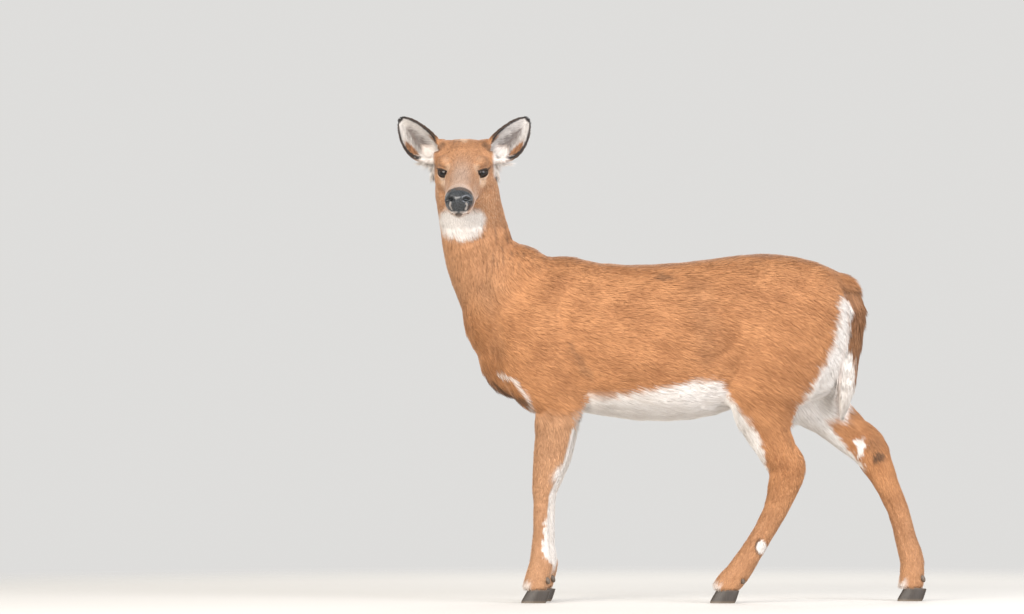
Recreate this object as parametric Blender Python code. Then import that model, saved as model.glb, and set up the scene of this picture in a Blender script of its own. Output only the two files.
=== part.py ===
"""White-tailed deer: a yearling doe, life size, standing with her head turned to her left.

Run with: blender --background --python part.py, or from Blender's text editor.

She faces -X and her left side faces -Y. Metres, +Z up, soles at Z = 0. Solid forms for
the trunk, neck, head, legs and tail are lofted through a few measured sections, fused
into one body with a voxel remesh, and that body is parted into named pieces by blocks.
Hooves, dewclaws, eyes and ears are solids of their own.
"""
import math

import bmesh
import bpy
import numpy as np
from mathutils import Matrix, Vector

# Driving sizes.
GAP = 0.0003
WELD = 0.00004
VOXEL = 0.0055
SMOOTHING_STEPS = 4
TORSO_SMOOTHING_STEPS = 36
SMOOTHING_GROWTH = 0.0012
BODY_TRIANGLES = 3100
SECTION_POINTS = 28
STEPS_BETWEEN_STATIONS = 4

# The head's frame: its origin is midway between the eyes, and its axis runs to the nose.
EYE_MIDPOINT = Vector((-0.442, -0.105, 0.9445))
HEAD_PITCH = math.radians(28.5)
HEAD_YAW = math.radians(4.0)
EYE_SIDE = 0.0385
EYE_AHEAD = 0.002
EYE_RADIUS = 0.0158
NOSE_CUT = 0.1315
NOSE_FLOOR = -0.0165
MOUTH_LINE = -0.0265
JAW_START = 0.050

# The ears. Each row of EAR: height as a share of the length, half the width, and how far
# round the cup wraps to each side, in degrees.
EAR_LENGTH = 0.139
EAR_THICKNESS = 0.0052
EAR_CLEARANCE = 0.0007
EAR_BASE = Vector((-0.040, 0.0455, 0.0100))
EAR_LEAN = Vector((0.0965, 0.046, 0.0905))
EAR_OPENING = Vector((0.22, -1.0, 0.10))
EAR_BOW = 0.008
EAR_COLUMNS = 8
STEM_SHARE = 0.24
EAR = (
    (0.00, 0.0110, 150),
    (0.12, 0.0220, 130),
    (0.28, 0.0310, 100),
    (0.50, 0.0335, 76),
    (0.74, 0.0275, 62),
    (0.90, 0.0170, 52),
    (0.98, 0.0080, 42),
    (1.00, 0.0035, 36),
)

# The feet.
HOOF_LENGTH = 0.056
HOOF_WIDTH = 0.0215
CORONET_HEIGHT = 0.030
TOE_SPLAY = 0.0122
TOE_SLOPE = 0.013
DEWCLAW_RADIUS = 0.0068
DEWCLAW_LENGTH = 0.019
DEWCLAW_SPREAD = 0.0125
DEWCLAW_HEIGHT = 0.050

# Where the legs are parted. Left and right halves reach BEYOND the body.
FORE_SPAN = (-0.42, -0.185)
HIND_SPAN = (0.04, 0.66)
PASTERN_TOP = 0.078
ELBOW_HEIGHT = 0.410
JOINT_HEIGHTS = {"fore_left": 0.262, "fore_right": 0.262, "hind_left": 0.275, "hind_right": 0.315}
GROIN = Vector((0.25, 0.0, 0.50))
GROIN_SLOPE = math.radians(-20)
BEYOND = 0.5

# Trunk sections: x along the body, then the heights of back and belly, then half the width,
# and how much narrower the back is than the belly.
TRUNK = (
    (-0.407, 0.582, 0.519, 0.030, 0.0),
    (-0.378, 0.640, 0.472, 0.068, 0.0),
    (-0.334, 0.702, 0.449, 0.093, 0.05),
    (-0.282, 0.752, 0.434, 0.106, 0.16),
    (-0.224, 0.762, 0.426, 0.112, 0.22),
    (-0.141, 0.746, 0.412, 0.122, 0.22),
    (-0.053, 0.742, 0.401, 0.132, 0.20),
    (0.035, 0.747, 0.401, 0.136, 0.20),
    (0.106, 0.755, 0.412, 0.130, 0.16),
    (0.178, 0.764, 0.436, 0.118, 0.08),
    (0.255, 0.764, 0.446, 0.112, 0.06),
    (0.326, 0.750, 0.446, 0.102, 0.06),
    (0.376, 0.727, 0.478, 0.078, 0.06),
    (0.407, 0.692, 0.556, 0.042, 0.0),
)

# Neck stations: x, y, z of the axis, half the depth from throat to nape, half the width.
NECK = (
    (-0.266, 0.000, 0.604, 0.150, 0.100),
    (-0.314, 0.000, 0.640, 0.136, 0.094),
    (-0.353, -0.001, 0.694, 0.113, 0.082),
    (-0.398, -0.004, 0.750, 0.083, 0.067),
    (-0.416, -0.012, 0.807, 0.0745, 0.059),
    (-0.427, -0.026, 0.862, 0.0690, 0.056),
    (-0.434, -0.040, 0.904, 0.0680, 0.056),
    (-0.438, -0.046, 0.946, 0.0620, 0.052),
)

# Leg stations: x and z of the axis, how far out from the middle, half the depth, half the width.
FORELEG = (
    (-0.215, 0.738, 0.022, 0.018, 0.014),
    (-0.248, 0.694, 0.050, 0.052, 0.034),
    (-0.290, 0.606, 0.068, 0.088, 0.043),
    (-0.272, 0.506, 0.076, 0.084, 0.044),
    (-0.240, 0.444, 0.074, 0.058, 0.038),
    (-0.2405, 0.410, 0.071, 0.0460, 0.033),
    (-0.2442, 0.365, 0.068, 0.0396, 0.029),
    (-0.2523, 0.317, 0.066, 0.0345, 0.026),
    (-0.2600, 0.284, 0.065, 0.0290, 0.024),
    (-0.2675, 0.251, 0.065, 0.0225, 0.020),
    (-0.2693, 0.220, 0.065, 0.0175, 0.0160),
    (-0.2706, 0.158, 0.065, 0.0170, 0.0155),
    (-0.2718, 0.119, 0.065, 0.0192, 0.0170),
    (-0.2715, 0.084, 0.065, 0.0245, 0.0215),
    (-0.2790, 0.055, 0.065, 0.0250, 0.0225),
    (-0.2880, 0.024, 0.065, 0.0262, 0.0230),
)
HINDLEG_UNDER = (
    (0.310, 0.742, 0.020, 0.020, 0.016),
    (0.316, 0.672, 0.050, 0.080, 0.044),
    (0.272, 0.570, 0.066, 0.100, 0.052),
    (0.222, 0.478, 0.072, 0.094, 0.050),
    (0.216, 0.427, 0.073, 0.072, 0.041),
    (0.2255, 0.380, 0.073, 0.0510, 0.033),
    (0.2464, 0.3355, 0.073, 0.0412, 0.0275),
    (0.2670, 0.297, 0.073, 0.0410, 0.0255),
    (0.2607, 0.257, 0.073, 0.0335, 0.0225),
    (0.2416, 0.2015, 0.073, 0.0252, 0.0185),
    (0.2152, 0.1525, 0.073, 0.0222, 0.0175),
    (0.1850, 0.1034, 0.073, 0.0235, 0.0200),
    (0.1600, 0.0660, 0.073, 0.0255, 0.0225),
    (0.1400, 0.0440, 0.073, 0.0262, 0.0230),
    (0.1260, 0.0220, 0.073, 0.0270, 0.0230),
)
HINDLEG_BEHIND = (
    (0.310, 0.742, 0.020, 0.020, 0.016),
    (0.318, 0.672, 0.050, 0.080, 0.044),
    (0.300, 0.570, 0.066, 0.100, 0.052),
    (0.302, 0.478, 0.072, 0.090, 0.050),
    (0.328, 0.446, 0.072, 0.068, 0.040),
    (0.3652, 0.414, 0.072, 0.0525, 0.033),
    (0.4080, 0.374, 0.072, 0.0440, 0.0275),
    (0.4500, 0.339, 0.072, 0.0410, 0.0255),
    (0.4741, 0.296, 0.072, 0.0322, 0.0225),
    (0.4928, 0.257, 0.072, 0.0255, 0.0190),
    (0.5192, 0.195, 0.072, 0.0222, 0.0175),
    (0.5335, 0.141, 0.072, 0.0225, 0.0180),
    (0.5467, 0.0968, 0.072, 0.0248, 0.0205),
    (0.5490, 0.0600, 0.072, 0.0258, 0.0225),
    (0.5430, 0.0220, 0.072, 0.0270, 0.0230),
)
TAIL = (
    (0.350, 0.708, 0.0, 0.022, 0.024),
    (0.394, 0.696, 0.0, 0.028, 0.030),
    (0.4135, 0.656, 0.0, 0.0300, 0.035),
    (0.4095, 0.598, 0.0, 0.0325, 0.037),
    (0.4030, 0.532, 0.0, 0.0285, 0.034),
    (0.3975, 0.471, 0.0, 0.0195, 0.024),
    (0.394, 0.433, 0.0, 0.0100, 0.012),
    (0.3925, 0.414, 0.0, 0.0030, 0.004),
)

# Head sections in the head's frame: distance ahead of the eyes, heights of the upper and
# lower profile, half the width, and how much narrower the top is than the cheeks.
HEAD = (
    (-0.102, 0.014, -0.036, 0.040, 0.0),
    (-0.084, 0.034, -0.054, 0.0580, 0.0),
    (-0.054, 0.0505, -0.066, 0.0680, 0.02),
    (-0.028, 0.0485, -0.069, 0.0655, 0.04),
    (-0.013, 0.0445, -0.067, 0.0560, 0.08),
    (0.003, 0.0395, -0.065, 0.0450, 0.10),
    (0.020, 0.034, -0.060, 0.0390, 0.12),
    (0.045, 0.029, -0.053, 0.0350, 0.12),
    (0.075, 0.0265, -0.0465, 0.0325, 0.08),
    (0.100, 0.0245, -0.0415, 0.0312, 0.04),
    (0.124, 0.0240, -0.0395, 0.0300, 0.0),
    (0.140, 0.0195, -0.0365, 0.0265, 0.0),
    (0.150, 0.0080, -0.0260, 0.0170, 0.0),
)

# Extra swellings of the head: ahead, to the side, up, then the half sizes along the same.
HEAD_SWELLINGS = (
    (-0.017, 0.0400, 0.002, 0.020, 0.0160, 0.0200),
    (-0.004, 0.0365, 0.0240, 0.020, 0.0175, 0.0105),
    (0.003, 0.0345, -0.0215, 0.022, 0.0140, 0.0100),
    (-0.036, 0.0400, -0.034, 0.042, 0.0250, 0.0300),
    (0.128, 0.0155, -0.002, 0.024, 0.0145, 0.0190),
    (-0.050, 0.0450, 0.022, 0.028, 0.0260, 0.0280),
)
HEAD_MIDDLE_SWELLINGS = (
    (0.134, 0.0, 0.003, 0.0190, 0.0285, 0.0215),
    (0.118, 0.0, -0.0320, 0.0230, 0.0190, 0.0125),
)

# Finishes: base colour and roughness.
FINISHES = {
    "coat": ((0.62, 0.29, 0.11), 0.8),
    "white_coat": ((0.85, 0.82, 0.78), 0.8),
    "nose": ((0.02, 0.022, 0.025), 0.35),
    "eye": ((0.012, 0.008, 0.006), 0.08),
    "horn": ((0.035, 0.028, 0.024), 0.4),
}

LEGS = {
    "fore_left": (FORELEG, -1, 0.0),
    "fore_right": (FORELEG, 1, 0.012),
    "hind_left": (HINDLEG_UNDER, -1, 0.0),
    "hind_right": (HINDLEG_BEHIND, 1, 0.0),
}


def clear_scene():
    """Remove the objects that the file opened with."""
    for obj in list(bpy.data.objects):
        bpy.data.objects.remove(obj, do_unlink=True)


def finish(name):
    """One Principled material for each kind of surface, made once."""
    found = bpy.data.materials.get(name)
    if found:
        return found
    colour, roughness = FINISHES[name]
    made = bpy.data.materials.new(name)
    made.use_nodes = True
    shader = made.node_tree.nodes["Principled BSDF"]
    shader.inputs["Base Color"].default_value = (*colour, 1.0)
    shader.inputs["Roughness"].default_value = roughness
    shader.inputs["Metallic"].default_value = 0.0
    return made


def add_object(name, mesh, finish_name="coat"):
    """Put a mesh in the scene as a named object, shaded smooth."""
    obj = bpy.data.objects.new(name, mesh)
    bpy.context.scene.collection.objects.link(obj)
    mesh.materials.clear()
    mesh.materials.append(finish(finish_name))
    mesh.shade_smooth()
    return obj


def mesh_from(name, points, faces):
    """A mesh with its normals facing out."""
    mesh = bpy.data.meshes.new(name)
    mesh.from_pydata([tuple(point) for point in points], [], faces)
    work = bmesh.new()
    work.from_mesh(mesh)
    bmesh.ops.recalc_face_normals(work, faces=work.faces)
    work.to_mesh(mesh)
    work.free()
    return mesh


def smooth_stations(stations, steps):
    """More stations between the given ones, on a Catmull-Rom curve through them."""
    rows = np.array(stations, float)
    padded = np.vstack([2 * rows[0] - rows[1], rows, 2 * rows[-1] - rows[-2]])
    found = []
    for i in range(1, len(padded) - 2):
        before, start, end, after = padded[i - 1 : i + 3]
        for step in range(steps):
            t = step / steps
            found.append(
                0.5
                * (
                    2 * start
                    + (end - before) * t
                    + (2 * before - 5 * start + 4 * end - after) * t**2
                    + (3 * start - before - 3 * end + after) * t**3
                )
            )
    found.append(rows[-1])
    return np.array(found)


def section(centre, side, up, half_side, half_up, narrowing=0.0, squareness=2.2):
    """A rounded outline in the plane of side and up, narrower towards up."""
    points = []
    for i in range(SECTION_POINTS):
        angle = 2 * math.pi * i / SECTION_POINTS
        across = math.copysign(abs(math.cos(angle)) ** (2 / squareness), math.cos(angle))
        height = math.copysign(abs(math.sin(angle)) ** (2 / squareness), math.sin(angle))
        width = half_side * (1 - narrowing * height)
        points.append(centre + side * (across * width) + up * (height * half_up))
    return points


def loft(name, sections):
    """Skin a row of outlines and close both ends."""
    points = [point for outline in sections for point in outline]
    count = SECTION_POINTS
    faces = []
    for row in range(len(sections) - 1):
        for i in range(count):
            j = (i + 1) % count
            low, high = row * count, (row + 1) * count
            faces.append((low + i, low + j, high + j, high + i))
    faces.append(tuple(range(count)))
    faces.append(tuple(range(len(points) - count, len(points))))
    return mesh_from(name, points, faces)


def trunk_form():
    """Chest, barrel, loin and rump, lofted along X."""
    sections = []
    for x, back, belly, half_width, narrowing in smooth_stations(TRUNK, STEPS_BETWEEN_STATIONS):
        centre = Vector((x, 0.0, (back + belly) / 2))
        sections.append(
            section(centre, Vector((0, 1, 0)), Vector((0, 0, 1)), half_width, (back - belly) / 2, narrowing)
        )
    return loft("trunk_form", sections)


def tube_form(name, stations):
    """A form along an axis of x, y, z with its half depth and half width at each station."""
    rows = smooth_stations(stations, STEPS_BETWEEN_STATIONS)
    axis = [Vector(row[:3]) for row in rows]
    sections = []
    for i, row in enumerate(rows):
        along = (axis[min(i + 1, len(rows) - 1)] - axis[max(i - 1, 0)]).normalized()
        side = Vector((0, 1, 0))
        side = (side - along * side.dot(along)).normalized()
        depth = along.cross(side)
        sections.append(section(axis[i], side, depth, row[4], row[3]))
    return loft(name, sections)


def leg_form(name, stations, side, shift):
    """One leg from its root in the trunk to the coronet. Shift sets the lower leg back."""
    rows = []
    for x, z, out, half_depth, half_width in stations:
        lowness = min(1.0, max(0.0, (0.46 - z) / 0.1))
        rows.append((x + shift * lowness, side * out, z, half_depth, half_width))
    return tube_form(name, rows)


def tail_form():
    rows = [(x, y, z, half_depth, half_width) for x, z, y, half_depth, half_width in TAIL]
    return tube_form("tail_form", rows)


def head_matrix():
    """From the head's frame (ahead, her left, up) to the world."""
    level = math.cos(HEAD_PITCH)
    ahead = Vector((-math.sin(HEAD_YAW) * level, -math.cos(HEAD_YAW) * level, -math.sin(HEAD_PITCH)))
    left = Vector((math.cos(HEAD_YAW), -math.sin(HEAD_YAW), 0.0))
    up = ahead.cross(left)
    made = Matrix((ahead, left, up)).transposed().to_4x4()
    made.translation = EYE_MIDPOINT
    return made


def head_form():
    """The head's core, lofted from the poll to the nose."""
    to_world = head_matrix()
    sections = []
    for ahead, top, bottom, half_width, narrowing in smooth_stations(HEAD, STEPS_BETWEEN_STATIONS):
        centre = Vector((ahead, 0.0, (top + bottom) / 2))
        outline = section(
            centre, Vector((0, 1, 0)), Vector((0, 0, 1)), half_width, (top - bottom) / 2, narrowing, 2.35
        )
        sections.append([to_world @ point for point in outline])
    return loft("head_form", sections)


def ball(name, centre, half_sizes, frame, segments=24, rings=14):
    """An ellipsoid with its half sizes along the axes of a frame."""
    mesh = bpy.data.meshes.new(name)
    work = bmesh.new()
    bmesh.ops.create_uvsphere(work, u_segments=segments, v_segments=rings, radius=1.0)
    sizes = Matrix.Diagonal((*half_sizes, 1.0))
    bmesh.ops.transform(work, matrix=frame @ Matrix.Translation(centre) @ sizes, verts=work.verts)
    bmesh.ops.recalc_face_normals(work, faces=work.faces)
    work.to_mesh(mesh)
    work.free()
    return mesh


def head_swelling_forms():
    """Orbits, brows, cheeks, nostril wings and ear roots, then the nose pad and the chin."""
    frame = head_matrix()
    forms = []
    for ahead, out, up, *half_sizes in HEAD_SWELLINGS:
        for side in (-1, 1):
            forms.append(ball("swelling", Vector((ahead, side * out, up)), half_sizes, frame))
    for ahead, out, up, *half_sizes in HEAD_MIDDLE_SWELLINGS:
        forms.append(ball("swelling", Vector((ahead, out, up)), half_sizes, frame))
    return forms


def evaluated_mesh(obj, name):
    """The object's mesh with its modifiers applied."""
    bpy.context.view_layer.update()
    graph = bpy.context.evaluated_depsgraph_get()
    made = bpy.data.meshes.new_from_object(obj.evaluated_get(graph))
    made.name = name
    return made


def joined_mesh(name, meshes):
    work = bmesh.new()
    for mesh in meshes:
        work.from_mesh(mesh)
    made = bpy.data.meshes.new(name)
    work.to_mesh(made)
    work.free()
    return made


def fused_body():
    """All the forms of flesh as one smooth closed mesh."""
    forms = [trunk_form(), tube_form("neck_form", NECK), head_form(), tail_form()]
    forms += head_swelling_forms()
    for name, (stations, side, shift) in LEGS.items():
        forms.append(leg_form(name, stations, side, shift))
    body = add_object("body", joined_mesh("body", forms))
    remesh = body.modifiers.new("Fuse", "REMESH")
    remesh.mode = "VOXEL"
    remesh.voxel_size = VOXEL
    body.data = take_modifiers(body)
    mark_torso(body)
    soften(body, "Soften", SMOOTHING_STEPS)
    soften(body, "Soften torso", TORSO_SMOOTHING_STEPS, "torso")
    grow = body.modifiers.new("Grow", "DISPLACE")
    grow.strength = SMOOTHING_GROWTH
    grow.mid_level = 0.0
    body.data = take_modifiers(body)
    body.data.calc_loop_triangles()
    thin_out = body.modifiers.new("Facets", "DECIMATE")
    thin_out.ratio = BODY_TRIANGLES / len(body.data.loop_triangles)
    made = take_modifiers(body)
    bpy.data.objects.remove(body, do_unlink=True)
    return made


def take_modifiers(obj):
    """Apply the object's modifiers, and give the mesh."""
    made = evaluated_mesh(obj, obj.name)
    obj.modifiers.clear()
    return made


def mark_torso(body):
    """A vertex group for the torso, which is smoothed more than the head and the legs."""
    torso = body.vertex_groups.new(name="torso")
    for vert in body.data.vertices:
        z = vert.co.z
        in_torso = min(1.0, max(0.0, (z - 0.40) / 0.06)) * min(1.0, max(0.0, (0.82 - z) / 0.06))
        torso.add([vert.index], in_torso, "REPLACE")


def soften(body, name, steps, group=""):
    smooth = body.modifiers.new(name, "SMOOTH")
    smooth.factor = 0.6
    smooth.iterations = steps
    smooth.vertex_group = group


def block(name, low, high, frame=None, grow=0.0):
    """A box between two corners of a frame, for parting the body. Grow pushes every face out."""
    frame = frame or Matrix.Identity(4)
    low = Vector(low) - Vector((grow,) * 3)
    high = Vector(high) + Vector((grow,) * 3)
    mesh = bpy.data.meshes.new(name)
    work = bmesh.new()
    bmesh.ops.create_cube(work, size=1.0)
    place = Matrix.Translation((low + high) / 2) @ Matrix.Diagonal((*(high - low), 1.0))
    bmesh.ops.transform(work, matrix=frame @ place, verts=work.verts)
    bmesh.ops.recalc_face_normals(work, faces=work.faces)
    work.to_mesh(mesh)
    work.free()
    return mesh


def cut(mesh, tool, operation):
    """The mesh after a Boolean with the tool, which leaves no object behind."""
    target = add_object("target", mesh)
    cutter = add_object("cutter", tool)
    cutter.hide_render = True
    cutter.display_type = "WIRE"
    boolean = target.modifiers.new("Cut", "BOOLEAN")
    boolean.solver = "EXACT"
    boolean.operation = operation
    boolean.object = cutter
    made = evaluated_mesh(target, mesh.name)
    bpy.data.objects.remove(target, do_unlink=True)
    bpy.data.objects.remove(cutter, do_unlink=True)
    return tidied(made)


def tidied(mesh):
    """The mesh with the tiny edges of a cut welded and any hole they left filled."""
    work = bmesh.new()
    work.from_mesh(mesh)
    bmesh.ops.remove_doubles(work, verts=work.verts, dist=WELD)
    bmesh.ops.dissolve_degenerate(work, edges=work.edges, dist=WELD)
    open_edges = [edge for edge in work.edges if edge.is_boundary]
    bmesh.ops.holes_fill(work, edges=open_edges)
    work.to_mesh(mesh)
    work.free()
    return mesh


def largest_body(mesh):
    """The mesh without the slivers that a cut left beside it."""
    work = bmesh.new()
    work.from_mesh(mesh)
    bodies = []
    waiting = set(work.verts)
    while waiting:
        body = {waiting.pop()}
        frontier = list(body)
        while frontier:
            vert = frontier.pop()
            for edge in vert.link_edges:
                other = edge.other_vert(vert)
                if other in waiting:
                    waiting.remove(other)
                    body.add(other)
                    frontier.append(other)
        bodies.append(body)
    bodies.sort(key=len)
    for body in bodies[:-1]:
        bmesh.ops.delete(work, geom=list(body), context="VERTS")
    work.to_mesh(mesh)
    work.free()
    return mesh


def part_off(rest, name, low, high, frame=None, finish_name="coat"):
    """Make the node inside a block, and return what is left outside it."""
    piece = largest_body(cut(rest, block("block", low, high, frame), "INTERSECT"))
    piece.name = name
    add_object(name, piece, finish_name)
    return cut(rest, block("block", low, high, frame, GAP), "DIFFERENCE")


def ear_matrix(side):
    """From an ear's frame (across, opening, along to the tip) to the world."""
    mirror = Vector((side, 1.0, 1.0))
    root = head_matrix() @ (EAR_BASE * Vector((1.0, side, 1.0)))
    along = (EAR_LEAN * mirror).normalized()
    opening = EAR_OPENING * mirror
    opening = (opening - along * opening.dot(along)).normalized()
    across = opening.cross(along)
    made = Matrix((across, opening, along)).transposed().to_4x4()
    made.translation = root
    return made


def ear_sections(side):
    """For each row of an ear: its middle, radius, wrap to each side and half the wall."""
    found = []
    for share, half_width, wrap_degrees in smooth_stations(EAR, 2):
        wrap = math.radians(wrap_degrees)
        radius = half_width / math.sin(min(wrap, math.pi / 2))
        half_wall = EAR_THICKNESS * (1.25 - 0.75 * share) / 2
        bow = -side * EAR_BOW * math.sin(math.pi * share)
        middle = Vector((bow, radius * 0.55, EAR_LENGTH * share))
        found.append((middle, radius, wrap, half_wall))
    return found


def ear_mesh(name, side, grow=0.0):
    """A cupped leaf on a short stem: two skins a wall apart, joined round the rim."""
    frame = ear_matrix(side)
    sections = ear_sections(side)
    inner, outer = [], []
    for middle, radius, wrap, half_wall in sections:
        wrap += grow / radius
        wall = half_wall + grow
        for column in range(EAR_COLUMNS + 1):
            angle = wrap * (2 * column / EAR_COLUMNS - 1)
            out = Vector((math.sin(angle), -math.cos(angle), 0.0))
            inner.append(frame @ (middle + out * (radius - wall)))
            outer.append(frame @ (middle + out * (radius + wall)))
    return mesh_from(name, inner + outer, ear_faces(len(inner), len(sections)))


def ear_canal(side):
    """The round hollow of the head that the ear's stem stands in."""
    frame = ear_matrix(side)
    rings = []
    for middle, radius, wrap, half_wall in ear_sections(side):
        if middle.z > EAR_LENGTH * STEM_SHARE:
            break
        reach = radius + half_wall + 2.5 * EAR_CLEARANCE
        sunk = Vector((0.0, 0.0, -EAR_CLEARANCE if not rings else 0.0))
        ring = section(middle + sunk, Vector((1, 0, 0)), Vector((0, 1, 0)), reach, reach, 0.0, 2.0)
        rings.append([frame @ point for point in ring])
    return loft("ear_canal", rings)


def ear_faces(count, rows):
    """Facets over the inner skin, the outer skin and the rim between them."""
    wide = EAR_COLUMNS + 1
    faces = []
    for row in range(rows - 1):
        for column in range(EAR_COLUMNS):
            a = row * wide + column
            b, c, d = a + 1, a + wide + 1, a + wide
            faces += [(a, b, c), (a, c, d)]
            faces += [(count + c, count + b, count + a), (count + d, count + c, count + a)]
    last = (rows - 1) * wide
    border = list(range(wide))
    border += [row * wide + EAR_COLUMNS for row in range(1, rows)]
    border += [last + column for column in range(EAR_COLUMNS - 1, -1, -1)]
    border += [row * wide for row in range(rows - 2, 0, -1)]
    for i, start in enumerate(border):
        end = border[(i + 1) % len(border)]
        faces += [(start, end, count + end), (start, count + end, count + start)]
    return faces


def add_ears(rest):
    """Both ears, each set in a recess of the head."""
    for name, side in (("ear_left", 1), ("ear_right", -1)):
        add_object(name, ear_mesh(name, side))
        rest = cut(rest, ear_canal(side), "DIFFERENCE")
        rest = cut(rest, ear_mesh("ear_recess", side, EAR_CLEARANCE), "DIFFERENCE")
    return rest


def add_eyes(rest):
    """Both eyeballs, each in a socket."""
    frame = head_matrix()
    for name, side in (("eye_left", 1), ("eye_right", -1)):
        centre = Vector((EYE_AHEAD, side * EYE_SIDE, 0.0))
        add_object(name, ball(name, centre, (EYE_RADIUS,) * 3, frame, 16, 9), "eye")
        socket = ball("socket", centre, (EYE_RADIUS + GAP,) * 3, frame, 16, 9)
        rest = cut(rest, socket, "DIFFERENCE")
    return rest


def foot_centre(stations, side, shift):
    x, z, out, half_depth, half_width = stations[-1]
    return Vector((x + shift, side * out, 0.0))


def claw_mesh(name, centre, side):
    """One half of a cloven hoof: a flat sole, a sloping toe wall and a flat coronet."""
    count = 14
    top = CORONET_HEIGHT - GAP
    levels = ((0.0, 1.0, 0.0), (0.45 * top, 0.96, 0.45), (top, 0.86, 1.0))
    points = []
    for height, size, slope in levels:
        for i in range(count):
            angle = 2 * math.pi * i / count
            ahead = math.cos(angle)
            across = math.sin(angle)
            narrow = 1 - 0.42 * max(ahead, 0.0) ** 1.6
            inward = 1.0 if across * side < 0 else 0.96
            x = -ahead * HOOF_LENGTH / 2 * size + TOE_SLOPE * slope
            y = across * HOOF_WIDTH / 2 * size * narrow * inward
            y += side * (TOE_SPLAY + 0.002 * ahead * size)
            points.append(centre + Vector((x, y, height)))
    faces = [tuple(range(count)), tuple(range(2 * count, 3 * count))]
    for row in range(2):
        for i in range(count):
            j = (i + 1) % count
            faces.append((row * count + i, row * count + j, (row + 1) * count + j, (row + 1) * count + i))
    return mesh_from(name, points, faces)


def dewclaw_root(stations, side, shift):
    """The point on the back of the pastern, on the leg's middle line, where the dewclaws grow."""
    rows = np.array(stations)[::-1]
    axis_x = np.interp(DEWCLAW_HEIGHT, rows[:, 1], rows[:, 0])
    half_depth = np.interp(DEWCLAW_HEIGHT, rows[:, 1], rows[:, 3])
    out = np.interp(DEWCLAW_HEIGHT, rows[:, 1], rows[:, 2])
    return Vector((axis_x + half_depth + shift, side * out, DEWCLAW_HEIGHT))


def dewclaw_mesh(name, root, side, grow=0.0):
    """A small blunt cone behind the pastern, pointing down and back."""
    root = root + Vector((0.0, side * DEWCLAW_SPREAD, 0.0))
    lean = Matrix.Rotation(math.radians(-32), 4, "Y")
    frame = Matrix.Translation(root) @ lean
    sizes = (DEWCLAW_RADIUS + grow, DEWCLAW_RADIUS * 0.9 + grow, DEWCLAW_LENGTH / 2 + grow)
    return ball(name, Vector((0, 0, 0)), sizes, frame, 8, 5)


def add_feet(rest):
    """Four hooves of two claws, each foot with two dewclaws set in the flesh."""
    for leg, (stations, side, shift) in LEGS.items():
        centre = foot_centre(stations, side, shift)
        root = dewclaw_root(stations, side, shift)
        for place, toe_side in (("outer", side), ("inner", -side)):
            claw_name = f"{leg}_claw_{place}"
            add_object(claw_name, claw_mesh(claw_name, centre, toe_side), "horn")
            dewclaw_name = f"{leg}_dewclaw_{place}"
            add_object(dewclaw_name, dewclaw_mesh(dewclaw_name, root, toe_side), "horn")
            rest = cut(rest, dewclaw_mesh("recess", root, toe_side, GAP), "DIFFERENCE")
    return rest


def part_legs(rest):
    """Each leg in three lengths: pastern, cannon, and forearm or thigh."""
    halves = {"left": (-BEYOND, -GAP / 2), "right": (GAP / 2, BEYOND)}
    for leg in LEGS:
        pair, half = leg.split("_")
        near, far = halves[half]
        front, back = FORE_SPAN if pair == "fore" else HIND_SPAN
        joint = JOINT_HEIGHTS[leg]
        low, high = (front, near, CORONET_HEIGHT), (back, far, PASTERN_TOP)
        rest = part_off(rest, f"{leg}_pastern", low, high)
        low, high = (front, near, PASTERN_TOP), (back, far, joint)
        rest = part_off(rest, f"{leg}_cannon", low, high)
        if pair == "fore":
            low, high = (front, near, joint), (back, far, ELBOW_HEIGHT)
            rest = part_off(rest, f"{leg}_forearm", low, high)
        else:
            lean = Matrix.Translation(GROIN) @ Matrix.Rotation(GROIN_SLOPE, 4, "Y")
            rest = part_off(rest, f"{leg}_thigh", (-0.20, near, -BEYOND), (BEYOND, far, 0.0), lean)
    return rest


def part_head(rest):
    """Nose pad, lower jaw and head, parted in the head's frame."""
    frame = head_matrix()
    rest = part_off(rest, "nose", (NOSE_CUT, -0.06, NOSE_FLOOR), (0.20, 0.06, 0.06), frame, "nose")
    rest = part_off(rest, "jaw", (JAW_START, -0.06, -0.07), (0.20, 0.06, MOUTH_LINE), frame)
    lean = Matrix.Translation(frame.translation) @ Matrix.Rotation(math.radians(108), 4, "X")
    rest = part_off(rest, "head", (-0.2, -0.077, -0.072), (0.2, 0.2, 0.3), lean)
    return rest


def part_neck(rest):
    """The neck, parted from the shoulders by a slanting block."""
    lean = Matrix.Translation((-0.36, 0, 0.70)) @ Matrix.Rotation(math.radians(-38), 4, "Y")
    return part_off(rest, "neck", (-0.25, -0.2, 0.0), (0.25, 0.2, 0.35), lean)


def part_tail(rest):
    """The tail, parted from the rump just behind its root."""
    lean = Matrix.Translation((0.385, 0, 0.66)) @ Matrix.Rotation(math.radians(4), 4, "Y")
    return part_off(rest, "tail", (0.0, -0.042, -0.26), (0.1, 0.042, 0.045), lean, "white_coat")


def stand_on_origin():
    """Move everything so that the middle of the box's foot is at the origin."""
    meshes = [obj.data for obj in bpy.context.scene.objects]
    points = np.concatenate([np.array([vert.co[:] for vert in mesh.vertices]) for mesh in meshes])
    low, high = points.min(axis=0), points.max(axis=0)
    shift = Matrix.Translation((-(low[0] + high[0]) / 2, -(low[1] + high[1]) / 2, -low[2]))
    for mesh in meshes:
        mesh.transform(shift)


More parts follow.
